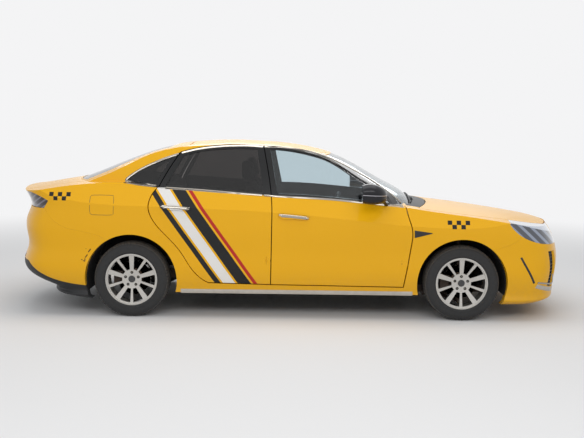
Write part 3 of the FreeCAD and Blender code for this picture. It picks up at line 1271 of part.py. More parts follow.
mirror = mirror_shell().fuse(rod(MIRROR_FOOT, MIRROR_NECK, MIRROR_ARM_RADIUS))
mirror = solid_of(mirror.cut(tub_outer).cut(cabin_outer))
save("mirror_left", mirror)
save("mirror_right", mirrored(mirror))
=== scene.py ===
"""Yellow taxi cab: the finish of every surface and the small pieces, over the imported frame.

Metres. +X towards the nose, +Y towards the car's left side, +Z up.
"""

import json
import math

import bmesh
import bpy
from mathutils import Matrix, Vector
from mathutils.bvhtree import BVHTree


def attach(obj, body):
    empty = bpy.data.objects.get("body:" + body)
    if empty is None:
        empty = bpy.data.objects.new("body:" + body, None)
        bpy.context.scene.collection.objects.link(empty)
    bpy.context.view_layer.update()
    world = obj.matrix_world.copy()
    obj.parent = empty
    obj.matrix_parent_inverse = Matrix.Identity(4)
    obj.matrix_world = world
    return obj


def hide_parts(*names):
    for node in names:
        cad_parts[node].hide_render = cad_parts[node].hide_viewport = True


bl_info = {
    "name": "Taxi cab finish",
    "version": (1, 0, 0),
    "blender": (4, 5, 0),
    "location": "View3D > Sidebar > Taxi cab",
    "description": "Paints the taxi cab's frame and adds its small pieces",
    "category": "Object",
}

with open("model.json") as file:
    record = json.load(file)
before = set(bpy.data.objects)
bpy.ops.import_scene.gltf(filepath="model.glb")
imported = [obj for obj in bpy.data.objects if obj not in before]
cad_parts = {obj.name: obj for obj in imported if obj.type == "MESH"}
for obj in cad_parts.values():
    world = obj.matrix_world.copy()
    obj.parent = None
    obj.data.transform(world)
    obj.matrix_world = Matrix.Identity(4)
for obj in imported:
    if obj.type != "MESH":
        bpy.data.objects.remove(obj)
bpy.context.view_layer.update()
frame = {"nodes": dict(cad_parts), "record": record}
NODES = frame["nodes"]
SIDES = (("left", 1), ("right", -1))

# Photograph's frame and the camera that was fitted to it
PHOTO_WIDTH = 584
SENSOR_WIDTH = 36.0
FOCAL_PIXELS = 900.0
CAMERA_PLACE = (0.082, -8.278, 1.619)
CAMERA_YAW = -0.00862
CAMERA_PITCH = 0.1047
CAMERA_ROLL = 0.01156

# Main places of the car, as the frame has them
REAR_AXLE_X = -1.32
FRONT_AXLE_X = 1.44
WHEEL_Y = 0.774
WHEEL_Z = 0.314
TYRE_RADIUS = 0.314
WHEELS = [(axle, word, x, side) for word, side in SIDES
          for axle, x in (("front", FRONT_AXLE_X), ("rear", REAR_AXLE_X))]

# Upper edge of each left door's window frame and of the rear side window, and the belt under the glass
FRONT_EDGE = [(-0.222, 1.4376), (-0.086, 1.4376), (0.128, 1.411), (0.2725, 1.3727), (0.42, 1.312),
              (0.5665, 1.2354), (0.714, 1.1498), (0.892, 1.0258), (0.95, 0.969)]
REAR_EDGE = [(-0.236, 1.438), (-0.376, 1.445), (-0.5707, 1.439), (-0.7639, 1.417), (-0.925, 1.3795)]
QUARTER_EDGE = [(-0.95, 1.369), (-1.028, 1.343), (-1.112, 1.311), (-1.258, 1.241), (-1.352, 1.181),
                (-1.392, 1.144), (-1.398, 1.129), (-1.376, 1.119), (-1.32, 1.111), (-1.258, 1.101),
                (-1.125, 1.086)]
BELT = [(0.944, 0.95), (0.885, 0.956), (0.58, 0.982), (0.37, 1.001), (0.132, 1.014), (-0.103, 1.023),
        (-0.223, 1.031), (-0.4106, 1.043), (-0.7445, 1.066), (-1.0399, 1.081), (-1.107, 1.085)]
BELT_END = [(-1.258, 1.099), (-1.32, 1.109), (-1.376, 1.117)]
GLASSHOUSE = FRONT_EDGE + REAR_EDGE + QUARTER_EDGE[:7]


def linear(code):
    """Linear colour with full alpha, from an sRGB hex code."""
    channels = [int(code[i:i + 2], 16) / 255 for i in (1, 3, 5)]
    return [c / 12.92 if c <= 0.04045 else ((c + 0.055) / 1.055) ** 2.4 for c in channels] + [1.0]


def add(tree, kind, inputs=None, **settings):
    """Adds a node. An input gets a number or a hex code, or a link from a Value or a socket."""
    made = tree.nodes.new(kind)
    for key, value in settings.items():
        setattr(made, key, value)
    for key, value in (inputs or {}).items():
        if isinstance(value, Value):
            value = value.socket
        if isinstance(value, bpy.types.NodeSocket):
            tree.links.new(value, made.inputs[key])
        else:
            made.inputs[key].default_value = linear(value) if isinstance(value, str) else value
    return made


def maths(operation, *values):
    """Result of a math node on numbers and Values."""
    tree = next(value.tree for value in values if isinstance(value, Value))
    return Value(tree, add(tree, "ShaderNodeMath", dict(enumerate(values)), operation=operation).outputs[0])


def sign(operation, turned=False):
    """Method of Value that adds a math node, with the values turned round if asked."""
    return lambda self, *others: maths(operation, *(others + (self,) if turned else (self,) + others))


class Value:
    """A number in a node tree. Signs between values add math nodes: & is 1 where both masks are, | where one is."""
    __add__, __sub__, __mul__ = sign("ADD"), sign("SUBTRACT"), sign("MULTIPLY")
    __gt__, __lt__, __abs__ = sign("GREATER_THAN"), sign("LESS_THAN"), sign("ABSOLUTE")
    __and__, __or__, __rsub__ = sign("MULTIPLY"), sign("MAXIMUM"), sign("SUBTRACT", turned=True)

    def __init__(self, tree, socket):
        self.tree = tree
        self.socket = socket


def between(value, low, high):
    """1 where a value lies between two limits."""
    return maths("COMPARE", value, (low + high) / 2, (high - low) / 2)


def any_of(masks):
    """1 where one of the masks is."""
    result = masks[0]
    for mask in masks[1:]:
        result = result | mask
    return result


def over_line(along, height, points):
    """1 above a curve through points, given as place and height."""
    points = sorted(points)
    low_x, high_x = points[0][0], points[-1][0]
    low_z = min(z for x, z in points)
    span_x, span_z = high_x - low_x, max(z for x, z in points) - low_z
    curve = add(along.tree, "ShaderNodeFloatCurve", {"Value": (along - low_x) * (1 / span_x)})
    knots = curve.mapping.curves[0].points
    for x, z in points[1:-1]:
        knots.new((x - low_x) / span_x, (z - low_z) / span_z)
    knots[0].location = (0, (points[0][1] - low_z) / span_z)
    knots[len(points) - 1].location = (1, (points[-1][1] - low_z) / span_z)
    curve.mapping.update()
    return (height - low_z) * (1 / span_z) > curve.outputs[0]


def tint(base, mask, colour):
    """Base colour with another over it where the mask is."""
    return add(mask.tree, "ShaderNodeMix", {0: mask, 6: base, 7: colour}, data_type="RGBA").outputs[2]


def shade(mask, plain, marked):
    """A number that is plain, and another where the mask is."""
    return mask * (marked - plain) + plain


def bumped(height, strength, distance):
    """Normal pushed by a height."""
    return add(height.tree, "ShaderNodeBump", {"Strength": strength, "Distance": distance, "Height": height}).outputs[0]


class Spot:
    """A point of a surface: its place on the car and the way it faces, in the object's axes."""

    def __init__(self, tree):
        self.tree = tree
        self.source = add(tree, "ShaderNodeTexCoord").outputs
        self.x, self.y, self.z = self.axes("Object")
        self.normal = self.axes("Normal")
        self.across = abs(self.y)
        self.outward = self.normal[1] * maths("SIGN", self.y)

    def axes(self, name):
        """X, Y and Z of the place or of the normal."""
        split = add(self.tree, "ShaderNodeSeparateXYZ", {0: self.source[name]})
        return [Value(self.tree, socket) for socket in split.outputs]

    def noise(self, size, detail=2.0):
        """Noise whose grains are about size metres across, 0 to 1."""
        made = add(self.tree, "ShaderNodeTexNoise", {
            "Scale": 1 / size, "Detail": detail, "Vector": self.source["Object"]})
        return Value(self.tree, made.outputs["Fac"])

    def grain(self, size, strength, distance, detail=2.0):
        """Bump from noise whose grains are about size metres across."""
        return bumped(self.noise(size, detail), strength, distance)

    def radius(self):
        """Distance from the nearer axle's line."""
        up = self.z - WHEEL_Z
        backs = [self.x - axle for axle in (REAR_AXLE_X, FRONT_AXLE_X)]
        return maths("MINIMUM", *[maths("SQRT", back * back + up * up) for back in backs])


# Finishes. Each gives the inputs of a principled shader at a spot

FINISHES = {}
made_finishes = {}


def finish(key, name):
    """Lists a finish by its key, with its material's name."""
    def listed(inputs_at):
        FINISHES[key] = (name, inputs_at)
        return inputs_at
    return listed


def blank_material(name):
    """New material with an empty node tree and its output."""
    material = bpy.data.materials.new(name)
    material.use_nodes = True
    tree = material.node_tree
    tree.nodes.clear()
    return material, tree, add(tree, "ShaderNodeOutputMaterial")


def finish_of(key):
    """One of the finishes, made on its first use."""
    if key not in made_finishes:
        name, inputs_at = FINISHES[key]
        material, tree, output = blank_material(name)
        shader = add(tree, "ShaderNodeBsdfPrincipled", inputs_at(Spot(tree)))
        tree.links.new(shader.outputs["BSDF"], output.inputs["Surface"])
        made_finishes[key] = material
    return made_finishes[key]


YELLOW = "#E8AC00"
FRAME_BLACK = "#121314"
CHECK_COLUMNS = 5
CHECK_ROWS = 2
CHECKERS = ((-1.991, -1.814, 0.973, 1.041), (1.303, 1.487, 0.777, 0.845))

# Strokes of the scuff on the right rear corner: start, end and half width
SCUFFS = (
    ((-1.65, 0.57), (-1.6664, 0.5497), 0.0042), ((-1.6778, 0.5234), (-1.6923, 0.5031), 0.004),
    ((-1.696, 0.4912), (-1.6985, 0.4709), 0.0034), ((-1.6985, 0.4709), (-1.71, 0.4735), 0.0034),
    ((-1.722, 0.483), (-1.7235, 0.4826), 0.0044), ((-1.6865, 0.5755), (-1.688, 0.5745), 0.0022),
)

# How far a face has to look outward to be outside, or inward to be on the cabin's side
OUTSIDE = 0.3
INSIDE = -0.35
LACQUER_ROUGH = 0.35


def checker_mask(x, z, low_x, high_x, low_z, high_z):
    """Taxi squares: odd columns on top, even ones under them."""
    column = maths("FLOOR", (x - low_x) * (CHECK_COLUMNS / (high_x - low_x)))
    row = maths("FLOOR", (high_z - z) * (CHECK_ROWS / (high_z - low_z)))
    odd = maths("FLOORED_MODULO", column + row, 2.0)
    return between(x, low_x, high_x) & between(z, low_z, high_z) & (1.0 - odd)


def scuff(at, start, end, half):
    """1 on a ragged stroke between two places of the flank."""
    run_x, run_z = end[0] - start[0], end[1] - start[1]
    square = run_x ** 2 + run_z ** 2
    share = (at.x - start[0]) * (run_x / square) + (at.z - start[1]) * (run_z / square)
    share = maths("MINIMUM", 1.0, maths("MAXIMUM", 0.0, share))
    off_x = at.x - (share * run_x + start[0])
    off_z = at.z - (share * run_z + start[1])
    return maths("SQRT", off_x * off_x + off_z * off_z) < at.noise(0.005, 3.0) * half + half * 0.55


def lacquer(at, colour, rough, **more):
    """Basecoat colour under a clear coat that ripples a little, as sprayed lacquer does."""
    return {"Base Color": colour, "Roughness": rough, "IOR": 1.5, "Specular IOR Level": 0.2, "Coat Weight": 0.3,
            "Coat Roughness": 0.03, "Coat IOR": 1.5, "Coat Normal": at.grain(0.012, 0.02, 0.0004, 1.0), **more}


def dusty_yellow(at):
    """Basecoat yellow, a little duller in broad patches and with road dust low down."""
    base = tint(YELLOW, at.noise(0.6) * 0.25, "#DFA300")
    low = maths("SMOOTH_MIN", 1.0, maths("MAXIMUM", 0.0, at.z * -3.2 + 1.35), 0.1)
    return tint(base, low * (at.noise(0.03, 6.0) * 0.35), "#8C7C55")


@finish("yellow_paint", "yellow basecoat and clearcoat")
def body_yellow(at):
    """Acrylic basecoat under clear lacquer: an even yellow with a deep wet gloss. Cabin side in grained black."""
    outside = at.outward > OUTSIDE
    squares = any_of([checker_mask(at.x, at.z, *box) for box in CHECKERS])
    colour = tint(dusty_yellow(at), squares & outside, "#161310")
    openings = over_line(at.x, at.z, BELT + BELT_END) & (1.0 - over_line(at.x, at.z, GLASSHOUSE))
    colour = tint(colour, openings & between(at.x, -1.39, 0.945), FRAME_BLACK)
    scuffs = any_of([scuff(at, *stroke) for stroke in SCUFFS])
    colour = tint(colour, scuffs & outside & (at.y < 0.0), "#3B1D08")
    inner = (at.outward < INSIDE) & between(at.x, -2.3, 0.99) & between(at.across, 0.0, 0.9)
    return lacquer(at, tint(colour, inner, "#1B1B1D"), inner * 0.3 + LACQUER_ROUGH)


@finish("roof", "yellow roof lacquer with headlining")
def roof_yellow(at):
    """Roof skin: yellow lacquer outside, pale needled headlining inside."""
    under = at.normal[2] < -0.2
    lining = tint("#9A9890", at.noise(0.0025, 3.0), "#86847D")
    return lacquer(at, tint(dusty_yellow(at), under, lining), under * 0.55 + LACQUER_ROUGH)


def door_lacquer(at, colour):
    """Door: lacquer, gloss black window frame, and a dark moulded card on the cabin side."""
    colour = tint(colour, over_line(at.x, at.z, BELT), FRAME_BLACK)
    ledge = (at.outward < OUTSIDE) & between(at.z, 0.45, 0.94) & (at.normal[2] > 0.5)
    card = (at.outward < INSIDE) | ledge
    return lacquer(at, tint(colour, card, "#202124"), shade(card, LACQUER_ROUGH, 0.6),
                   Normal=bumped(card * at.noise(0.002), 0.3, 0.0006))


@finish("front_door", "front door lacquer and window frame")
def front_door_lacquer(at):
    """Plain yellow door."""
    return door_lacquer(at, dusty_yellow(at))


LIVERY_SLOPE = 0.715
LIVERY_BANDS = (
    (-0.085, -0.052, "#B3261B"), (-0.215, -0.105, "#141415"), (-0.335, -0.235, "#E4E2DE"),
    (-0.405, -0.355, "#141415"),
)


@finish("rear_door", "rear door lacquer and window frame")
def rear_door_lacquer(at):
    """Yellow door with plain slanted bars of film in black, white and red."""
    slant = at.z * LIVERY_SLOPE + at.x
    colour = dusty_yellow(at)
    for low, high, code in LIVERY_BANDS:
        colour = tint(colour, between(slant, low, high), code)
    return door_lacquer(at, colour)


@finish("glass", "toughened clear glass")
def toughened_glass(at):
    """Toughened soda-lime glass: clear, with a faint green-grey body."""
    return {"Base Color": "#DDE8EC", "Roughness": 0.0, "IOR": 1.5, "Transmission Weight": 1.0,
            "Normal": at.grain(0.15, 0.01, 0.0005, 1.0)}


@finish("tinted_glass", "tinted privacy glass")
def privacy_glass(at):
    """Privacy glass tinted in the melt: smoky brown-grey that still shows the seats."""
    return {"Base Color": tint("#6E6A68", at.noise(0.2, 1.0), "#625F5E"), "Roughness": 0.0, "IOR": 1.5,
            "Transmission Weight": 1.0}


@finish("lamp_lens", "polycarbonate headlamp")
def headlamp_cover(at):
    """Hard-coated polycarbonate over a dark reflector: light facets and a bright upper edge are painted reflections,
    made partly metallic.
    """
    # Light facets: stripes painted lighter and partly metallic, as painted reflections of the lamps.
    light = maths("FRACT", (at.z * 1.1 + at.x) * (1 / 0.085)) > 0.62
    # Bright upper edge: a painted highlight along the top of the lens.
    upper = at.x * 0.235 + at.z > 1.262
    colour = tint(tint("#3A3F4A", light, "#8E97A8"), upper, "#C9CFDA")
    return {"Base Color": colour, "Metallic": (light | upper) * 0.6, "Roughness": 0.12, "IOR": 1.585,
            "Coat Weight": 1.0, "Coat Roughness": 0.02}


@finish("smoked_lens", "smoked acrylic tail lamp")
def tail_lamp_cover(at):
    """Dyed acrylic tail lamp: near black until lit, with grey facets painted in as reflections and a deep red body."""
    # Grey facets: stripes painted lighter, as painted reflections of the lamps.
    light = maths("FRACT", (at.z * 1.6 - at.x) * (1 / 0.075)) > 0.7
    colour = tint(tint("#241418", light, "#6F6A78"), between(at.across, 0.0, 0.7), "#4A0D12")
    return {"Base Color": colour, "Roughness": 0.1, "IOR": 1.49, "Coat Weight": 1.0, "Coat Roughness": 0.02}


@finish("black_plastic", "grained black polypropylene")
def moulded_black(at):
    """Injection-moulded polypropylene: dark, with a fine spark-eroded texture drawn a little coarse."""
    return {"Base Color": tint("#1D1E20", at.noise(0.05, 4.0), "#242527"), "Roughness": 0.55, "IOR": 1.49,
            "Normal": at.grain(0.002, 0.3, 0.0005)}


@finish("mirror", "black mirror shell with bright line")
def mirror_shell(at):
    """Black lacquered door mirror with a thin bright line round its waist."""
    line = between(at.x * 0.04 + at.z, 1.081, 1.086)
    face = at.normal[0] < -0.9
    colour = tint(tint("#17171B", line, "#B9B7BC"), face, "#C4CCD2")
    return lacquer(at, colour, face * -0.3 + 0.33, Metallic=line | face)


@finish("underbody", "stone chip underbody coat")
def stone_chip_coat(at):
    """Sprayed stone-chip coat under the floor: matt and lumpy."""
    return {"Base Color": tint("#232324", at.noise(0.12, 6.0) * 0.5, "#3B3833"), "Roughness": 0.85,
            "Normal": at.grain(0.006, 0.5, 0.001)}


@finish("liner", "needled felt arch liner")
def dull_liner(at):
    """Needled felt wheel-arch liner: soft black that takes no shine."""
    return {"Base Color": tint("#0C0C0D", at.noise(0.02, 4.0), "#18171A"), "Roughness": 0.95,
            "Normal": at.grain(0.003, 0.6, 0.001)}


@finish("tyre", "vulcanised tyre rubber")
def tyre_rubber(at):
    """Carbon-black vulcanised rubber: matt, greyer and dusty on the tread."""
    radius = at.radius()
    worn = (radius > 0.298) * (at.noise(0.02, 4.0) * 0.5 + 0.2)
    colour = tint(tint("#222223", at.noise(0.03, 5.0), "#2D2D2D"), worn, "#5A5855")
    ring = maths("PINGPONG", maths("FRACT", radius * (1 / 0.0045)), 0.5)
    return {"Base Color": colour, "Roughness": 0.78,
            "Normal": bumped(ring * between(radius, 0.24, 0.285), 0.25, 0.0006)}


CAP_RADIUS = 0.029
NUT_CIRCLE = 0.056
NUT_WELL = 0.0125
NUTS = 5


def nut_places(radius):
    """Places of a wheel's nuts from its middle, along the car and up."""
    return [(radius * math.sin(2 * math.pi * index / NUTS), radius * math.cos(2 * math.pi * index / NUTS))
            for index in range(NUTS)]


def nut_wells(at):
    """1 in the five round wells of each wheel's nuts, which are painted near black as painted shade."""
    wells = []
    for axle in (REAR_AXLE_X, FRONT_AXLE_X):
        for along, up in nut_places(NUT_CIRCLE):
            off_x, off_z = at.x - (axle + along), at.z - (WHEEL_Z + up)
            wells.append(off_x * off_x + off_z * off_z < NUT_WELL ** 2)
    return any_of(wells)


@finish("alloy", "silver lacquered cast aluminium")
def silver_alloy(at):
    """Cast aluminium wheel under silver lacquer, with a plain dark cap, brake dust with painted shade inside the rim,
    and painted shade in the nut wells.
    """
    # Deep inside the rim the colour is darkened: brake dust with painted shade. The added roughness belongs to the
    # dust.
    dust = (at.across < 0.79) * (at.noise(0.02, 4.0) * 0.4 + 0.35)
    cap = at.radius() < CAP_RADIUS
    colour = tint(tint("#C9C6C0", at.noise(0.0015), "#B5B2AD"), dust, "#4A4642")
    # Nut wells painted near black: painted shade in the recesses around the nuts.
    colour = tint(tint(colour, nut_wells(at), "#1E1D1D"), cap, "#2A2A2C")
    return {"Base Color": colour, "Metallic": shade(cap, 0.55, 0.1), "Roughness": dust * 0.4 + 0.36,
            "Coat Weight": 0.6, "Coat Roughness": 0.08, "Normal": at.grain(0.004, 0.05, 0.0004)}


@finish("chrome", "chrome plated trim")
def chromed_plastic(at):
    """Chrome-plated ABS trim: a bright mirror with the slight warmth of nickel under it."""
    return {"Base Color": tint("#B5AFA5", at.noise(0.2), "#A39D94"), "Metallic": 1.0,
            "Roughness": at.noise(0.03, 3.0) * 0.08 + 0.16}


@finish("silver", "satin silver trim paint")
def satin_silver(at):
    """Silver-painted sill and bumper trim: satin, a little dusty."""
    return {"Base Color": tint("#C6C1B8", at.noise(0.04, 5.0), "#A6A198"), "Metallic": 0.5, "IOR": 1.5,
            "Roughness": at.noise(0.02, 3.0) * 0.15 + 0.33}


@finish("cast_iron", "grey cast iron")
def cast_iron(at):
    """Sand-cast grey iron with a little surface rust."""
    return {"Base Color": tint("#4A4643", at.noise(0.03, 6.0) * 0.6, "#5A3E2C"), "Metallic": 0.7,
            "Roughness": 0.6, "Normal": at.grain(0.004, 0.4, 0.0008)}


@finish("disc", "ground steel brake disc")
def turned_steel(at):
    """Ground brake disc: turned rings, with a rusty hat."""
    radius = at.radius()
    hat = radius < 0.085
    rings = maths("PINGPONG", maths("FRACT", radius * (1 / 0.003)), 0.5)
    return {"Base Color": tint("#A39C90", hat, "#6B5A4C"), "Metallic": 0.35, "Roughness": hat * 0.25 + 0.4,
            "Normal": bumped(rings, 0.2, 0.0004)}


@finish("steel", "aluminised exhaust steel")
def exhaust_steel(at):
    """Aluminised steel, dulled by heat."""
    return {"Base Color": tint("#77706A", at.noise(0.06, 5.0), "#5C5046"), "Metallic": 0.9,
            "Roughness": at.noise(0.04, 3.0) * 0.25 + 0.35}


WEAVE_PITCH = 0.004
SEAT_MIDDLE = 0.36
SEAM_OFF = 0.155


@finish("upholstery", "woven seat cloth and leatherette")
def seat_cloth(at):
    """Woven polyester in the middle of each seat, dark leatherette on its sides; the weave is drawn coarse to show."""
    middle = abs(at.across - SEAT_MIDDLE) < SEAM_OFF
    along, across = [maths("SINE", axis * (2 * math.pi / WEAVE_PITCH)) for axis in (at.x + at.z, at.y)]
    weave = middle * (along * across * 0.5 + 0.5)
    cloth = tint("#3A3B3E", weave, "#2B2C2F")
    side = tint("#202124", at.noise(0.004, 3.0), "#292A2D")
    return {"Base Color": tint(side, middle, cloth), "Roughness": shade(middle, 0.55, 0.92),
            "Sheen Weight": 0.25, "Sheen Roughness": 0.5,
            "Normal": bumped(weave + at.noise(0.004, 3.0), 0.35, 0.0007)}


@finish("hinge", "painted forged hinge")
def hinge_steel(at):
    """Forged hinge arm, painted with the body."""
    return lacquer(at, tint(YELLOW, at.noise(0.02, 4.0), "#C99400"), at.noise(0.01) * 0.1 + 0.4)


# Finish of each node: that of its slot in the record, or its own
NODE_FINISHES = {part["node"]: part["material_slot"] for part in frame["record"]["subparts"]}
NODE_FINISHES.update({"roof_panel": "roof", "arch_liners": "liner", "door_hinges": "hinge"})
NODE_FINISHES.update({f"{key}_{word}": key for key in ("mirror", "front_door", "rear_door") for word, side in SIDES})


# Modelling by hand


def clear_selection():
    """Object mode with nothing selected."""
    if bpy.context.object and bpy.context.object.mode != "OBJECT":
        bpy.ops.object.mode_set(mode="OBJECT")
    bpy.ops.object.select_all(action="DESELECT")


def only(piece):
    """Selects one piece alone and makes it the active one."""
    clear_selection()
    piece.select_set(True)
    bpy.context.view_layer.objects.active = piece


def edit_all():
    """Edit mode on the active piece, with everything selected."""
    bpy.ops.object.mode_set(mode="EDIT")
    bpy.ops.mesh.select_all(action="SELECT")


def applied(piece, kind, **settings):
    """Adds a modifier with its settings and applies it."""
    only(piece)
    made = piece.modifiers.new(kind.lower(), kind)
    for key, value in settings.items():
        setattr(made, key, value)
    bpy.ops.object.modifier_apply(modifier=made.name)


def settled(piece, name, body, finish, smooth=35.0):
    """Puts a finished piece's place in its mesh, closes and turns its faces, names it and makes it ride."""
    only(piece)
    bpy.ops.object.transform_apply(location=True, rotation=True, scale=True)
    edit_all()
    bpy.ops.mesh.remove_doubles(threshold=0.00001)
    bpy.ops.mesh.normals_make_consistent(inside=False)
    bpy.ops.object.mode_set(mode="OBJECT")
    bpy.ops.object.shade_smooth_by_angle(angle=math.radians(smooth))
    piece.name = name
    piece.data.name = name
    piece.data.materials.clear()
    piece.data.materials.append(finish_of(finish))
    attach(piece, body)


def from_mesh(mesh):
    """Piece in the scene that has a mesh."""
    piece = bpy.data.objects.new("piece", mesh)
    bpy.context.collection.objects.link(piece)
    return piece


def grid(across, down):
    """Flat grid of unit size."""
    clear_selection()
    bpy.ops.mesh.primitive_grid_add(x_subdivisions=across, y_subdivisions=down, size=1)
    return bpy.context.object


def spun(places, steps, middle):
    """Piece turned out of a closed line through places, round an axle."""
    clear_selection()
    bpy.ops.mesh.primitive_circle_add(vertices=len(places))
    piece = bpy.context.object
    for vertex, place in zip(piece.data.vertices, places):
        vertex.co = place
    edit_all()
    bpy.ops.mesh.spin(steps=steps, angle=2 * math.pi, center=middle, axis=(0, 1, 0))
    bpy.ops.mesh.select_all(action="SELECT")
    bpy.ops.mesh.remove_doubles(threshold=0.00002)
    bpy.ops.object.mode_set(mode="OBJECT")
    return piece


skins = {}


def skin_of(node):
    """Search tree of a node's faces."""
    if node not in skins:
        mesh = NODES[node].data
        skins[node] = BVHTree.FromPolygons([v.co for v in mesh.vertices], [p.vertices for p in mesh.polygons])
    return skins[node]


CAST_FROM = 0.4
CAST_DEPTH = 0.95


def met(nodes, point, inward):
    """Where a line towards the car first meets the nodes, or None."""
    found = [skin_of(node).ray_cast(point - inward * CAST_FROM, inward, CAST_DEPTH) for node in nodes]
    hits = [hit for hit in found if hit[0] is not None]
    return min(hits, key=lambda hit: hit[3])[0] if hits else None


def along_line(line, share):
    """Point at a share of a line's length, and the line's direction there."""
    runs = [(b - a).length for a, b in zip(line, line[1:])]
    left = share * sum(runs)
    for index, run in enumerate(runs):
        if left <= run or index == len(runs) - 1:
            direction = (line[index + 1] - line[index]).normalized()
            return line[index] + direction * left, direction
        left -= run


def rounded(line, steps=6):
    """Smooth line through points, by cubic arcs."""
    points = [Vector(p) for p in line]
    ends = [points[0] * 2 - points[1]] + points + [points[-1] * 2 - points[-2]]
    made = []
    for a, b, c, d in zip(ends, ends[1:], ends[2:], ends[3:]):
        for step in range(steps):
            t = step / steps
            made.append(0.5 * (b * 2 + (c - a) * t + (a * 2 - b * 5 + c * 4 - d) * t ** 2
                               + (b * 3 - a - c * 3 + d) * t ** 3))
    return made + [points[-1]]


# Furthest that a sheet follows a step in the skin, and how fast a known depth loses weight with its distance
SKIN_SPREAD = 0.16
NEARNESS = -4


def sheet_on_skin(where, nodes, across, down, proud, sink, edge):
    """Grid laid on the skin: where gives, for two shares, a point near the skin and the direction inwards."""
    piece = grid(across, down)
    places = []
    for vertex in piece.data.vertices:
        point, inward = where(vertex.co.x + 0.5, vertex.co.y + 0.5)
        hit = met(nodes, point, inward)
        depth = (hit - point).dot(inward) if hit else math.inf
        places.append((Vector((vertex.co.x * across, vertex.co.y)), point, inward, depth))
    depths = sorted(place[3] for place in places if place[3] < math.inf)
    usual = depths[len(depths) // 2]
    known = [(flat, depth) for flat, point, inward, depth in places if abs(depth - usual) < SKIN_SPREAD]
    for vertex, (flat, point, inward, depth) in zip(piece.data.vertices, places):
        if abs(depth - usual) >= SKIN_SPREAD:
            weights = [((near - flat).length ** NEARNESS, far) for near, far in known]
            depth = sum(w * far for w, far in weights) / sum(w for w, far in weights)
        vertex.co = point + inward * (depth + sink - proud / 2)
    applied(piece, "SOLIDIFY", thickness=proud, offset=0.0)
    if edge:
        applied(piece, "BEVEL", width=edge, segments=2, limit_method="ANGLE", angle_limit=math.radians(50))
    return piece


# Middle of the rounded plan of the nose, and how much of a point's own Y it keeps
NOSE_MIDDLE_X = 1.55
NOSE_KEEPS_Y = 0.35


def nose_inward(point):
    """Level direction from a point on the nose or tail to the middle of its rounded plan."""
    middle = Vector((math.copysign(NOSE_MIDDLE_X, point.x), point.y * NOSE_KEEPS_Y, point.z))
    return (middle - point).normalized()


STRIP_STEP = 0.022
STRIP_LEAST = 8


def strip(line, width, proud, nodes, inward=None, sink=0.0008, edge=0.0012, down=2):
    """Moulding along a line on the skin. Without a direction inwards, it looks at the nose's or tail's middle."""
    path = rounded(line)
    reach = sum((b - a).length for a, b in zip(path, path[1:]))

    def where(u, v):
        point, direction = along_line(path, u)
        facing = inward or nose_inward(point)
        return point + direction.cross(facing).normalized() * (v - 0.5) * width, facing

    return sheet_on_skin(where, nodes, max(STRIP_LEAST, int(reach / STRIP_STEP)), down, proud, sink, edge)


def patch(corners, proud, nodes, inward, sink=0.0008, edge=0.001, across=10, down=6):
    """Flat trim on the skin between four corners."""
    a, b, c, d = [Vector(p) for p in corners]

    def where(u, v):
        return (a * (1 - u) + b * u) * (1 - v) + (d * (1 - u) + c * u) * v, inward

    return sheet_on_skin(where, nodes, across, down, proud, sink, edge)


# Just outside the car's flank
FLANK_Y = 0.95


def flank(points, side):
    """Points of one side from places along the car and heights."""
    return [(x, side * FLANK_Y, z) for x, z in points]


def pushed_in(points, distance):
    """Line moved square to itself, towards the glass."""
    moved = []
    for index, (x, z) in enumerate(points):
        ahead = points[min(index + 1, len(points) - 1)]
        behind = points[max(index - 1, 0)]
        run = Vector((ahead[0] - behind[0], ahead[1] - behind[1])).normalized() * distance
        moved.append((x + run.y, z - run.x))
    return moved


def length(name, description, default):
    """A length among the settings."""
    return bpy.props.FloatProperty(
        name=name, description=description, default=default, unit="LENGTH", subtype="DISTANCE")


# Pieces


class TaxiMouldingSettings(bpy.types.PropertyGroup):
    """Sizes of the bright mouldings."""
    width: length("Width", "Width of the moulding round the side windows", 0.014)
    proud: length("Height", "Height of the moulding over the skin", 0.004)
    sill_width: length("Sill width", "Width of the silver strip on the sill", 0.034)


BELT_SPLIT_FRONT = 6
BELT_SPLIT_REAR = 10
MOULDING_GAP = 0.003


class TAXI_OT_mouldings(bpy.types.Operator):
    """Bright mouldings round the side windows, one on each door and one round the rear side window"""
    bl_idname = "taxi.mouldings"
    bl_label = "Window mouldings"

    def execute(self, context):
        sizes = context.scene.taxi_moulding
        edge = sizes.width / 2 + MOULDING_GAP
        lines = (
            ("front_door", "front_door", pushed_in(FRONT_EDGE, edge)),
            ("front_door", "front_belt", BELT[:BELT_SPLIT_FRONT] + [(-0.219, 1.0305)]),
            ("rear_door", "rear_door", pushed_in(REAR_EDGE, -edge)),
            ("rear_door", "rear_belt", [(-0.233, 1.0316)] + BELT[BELT_SPLIT_FRONT + 1:BELT_SPLIT_REAR]),
            ("side_frame", "quarter", pushed_in(QUARTER_EDGE, -edge * 0.9)),
        )
        for word, side in SIDES:
            for carrier, name, line in lines:
                node = f"{carrier}_{word}"
                piece = strip(flank(line, side), sizes.width, sizes.proud, [node], Vector((0, -side, 0)))
                settled(piece, f"moulding_{name}_{word}", "body" if carrier == "side_frame" else node, "chrome")
        return {"FINISHED"}


SILL = [(-0.905, 0.226), (-0.4, 0.226), (0.3, 0.226), (0.9, 0.226), (1.03, 0.226)]
VENT = [(1.03, 0.762), (1.178, 0.742), (1.176, 0.736), (1.032, 0.699)]
FLAP = (-1.65, -1.457, 0.859, 1.018)
FLAP_CORNER = 0.018


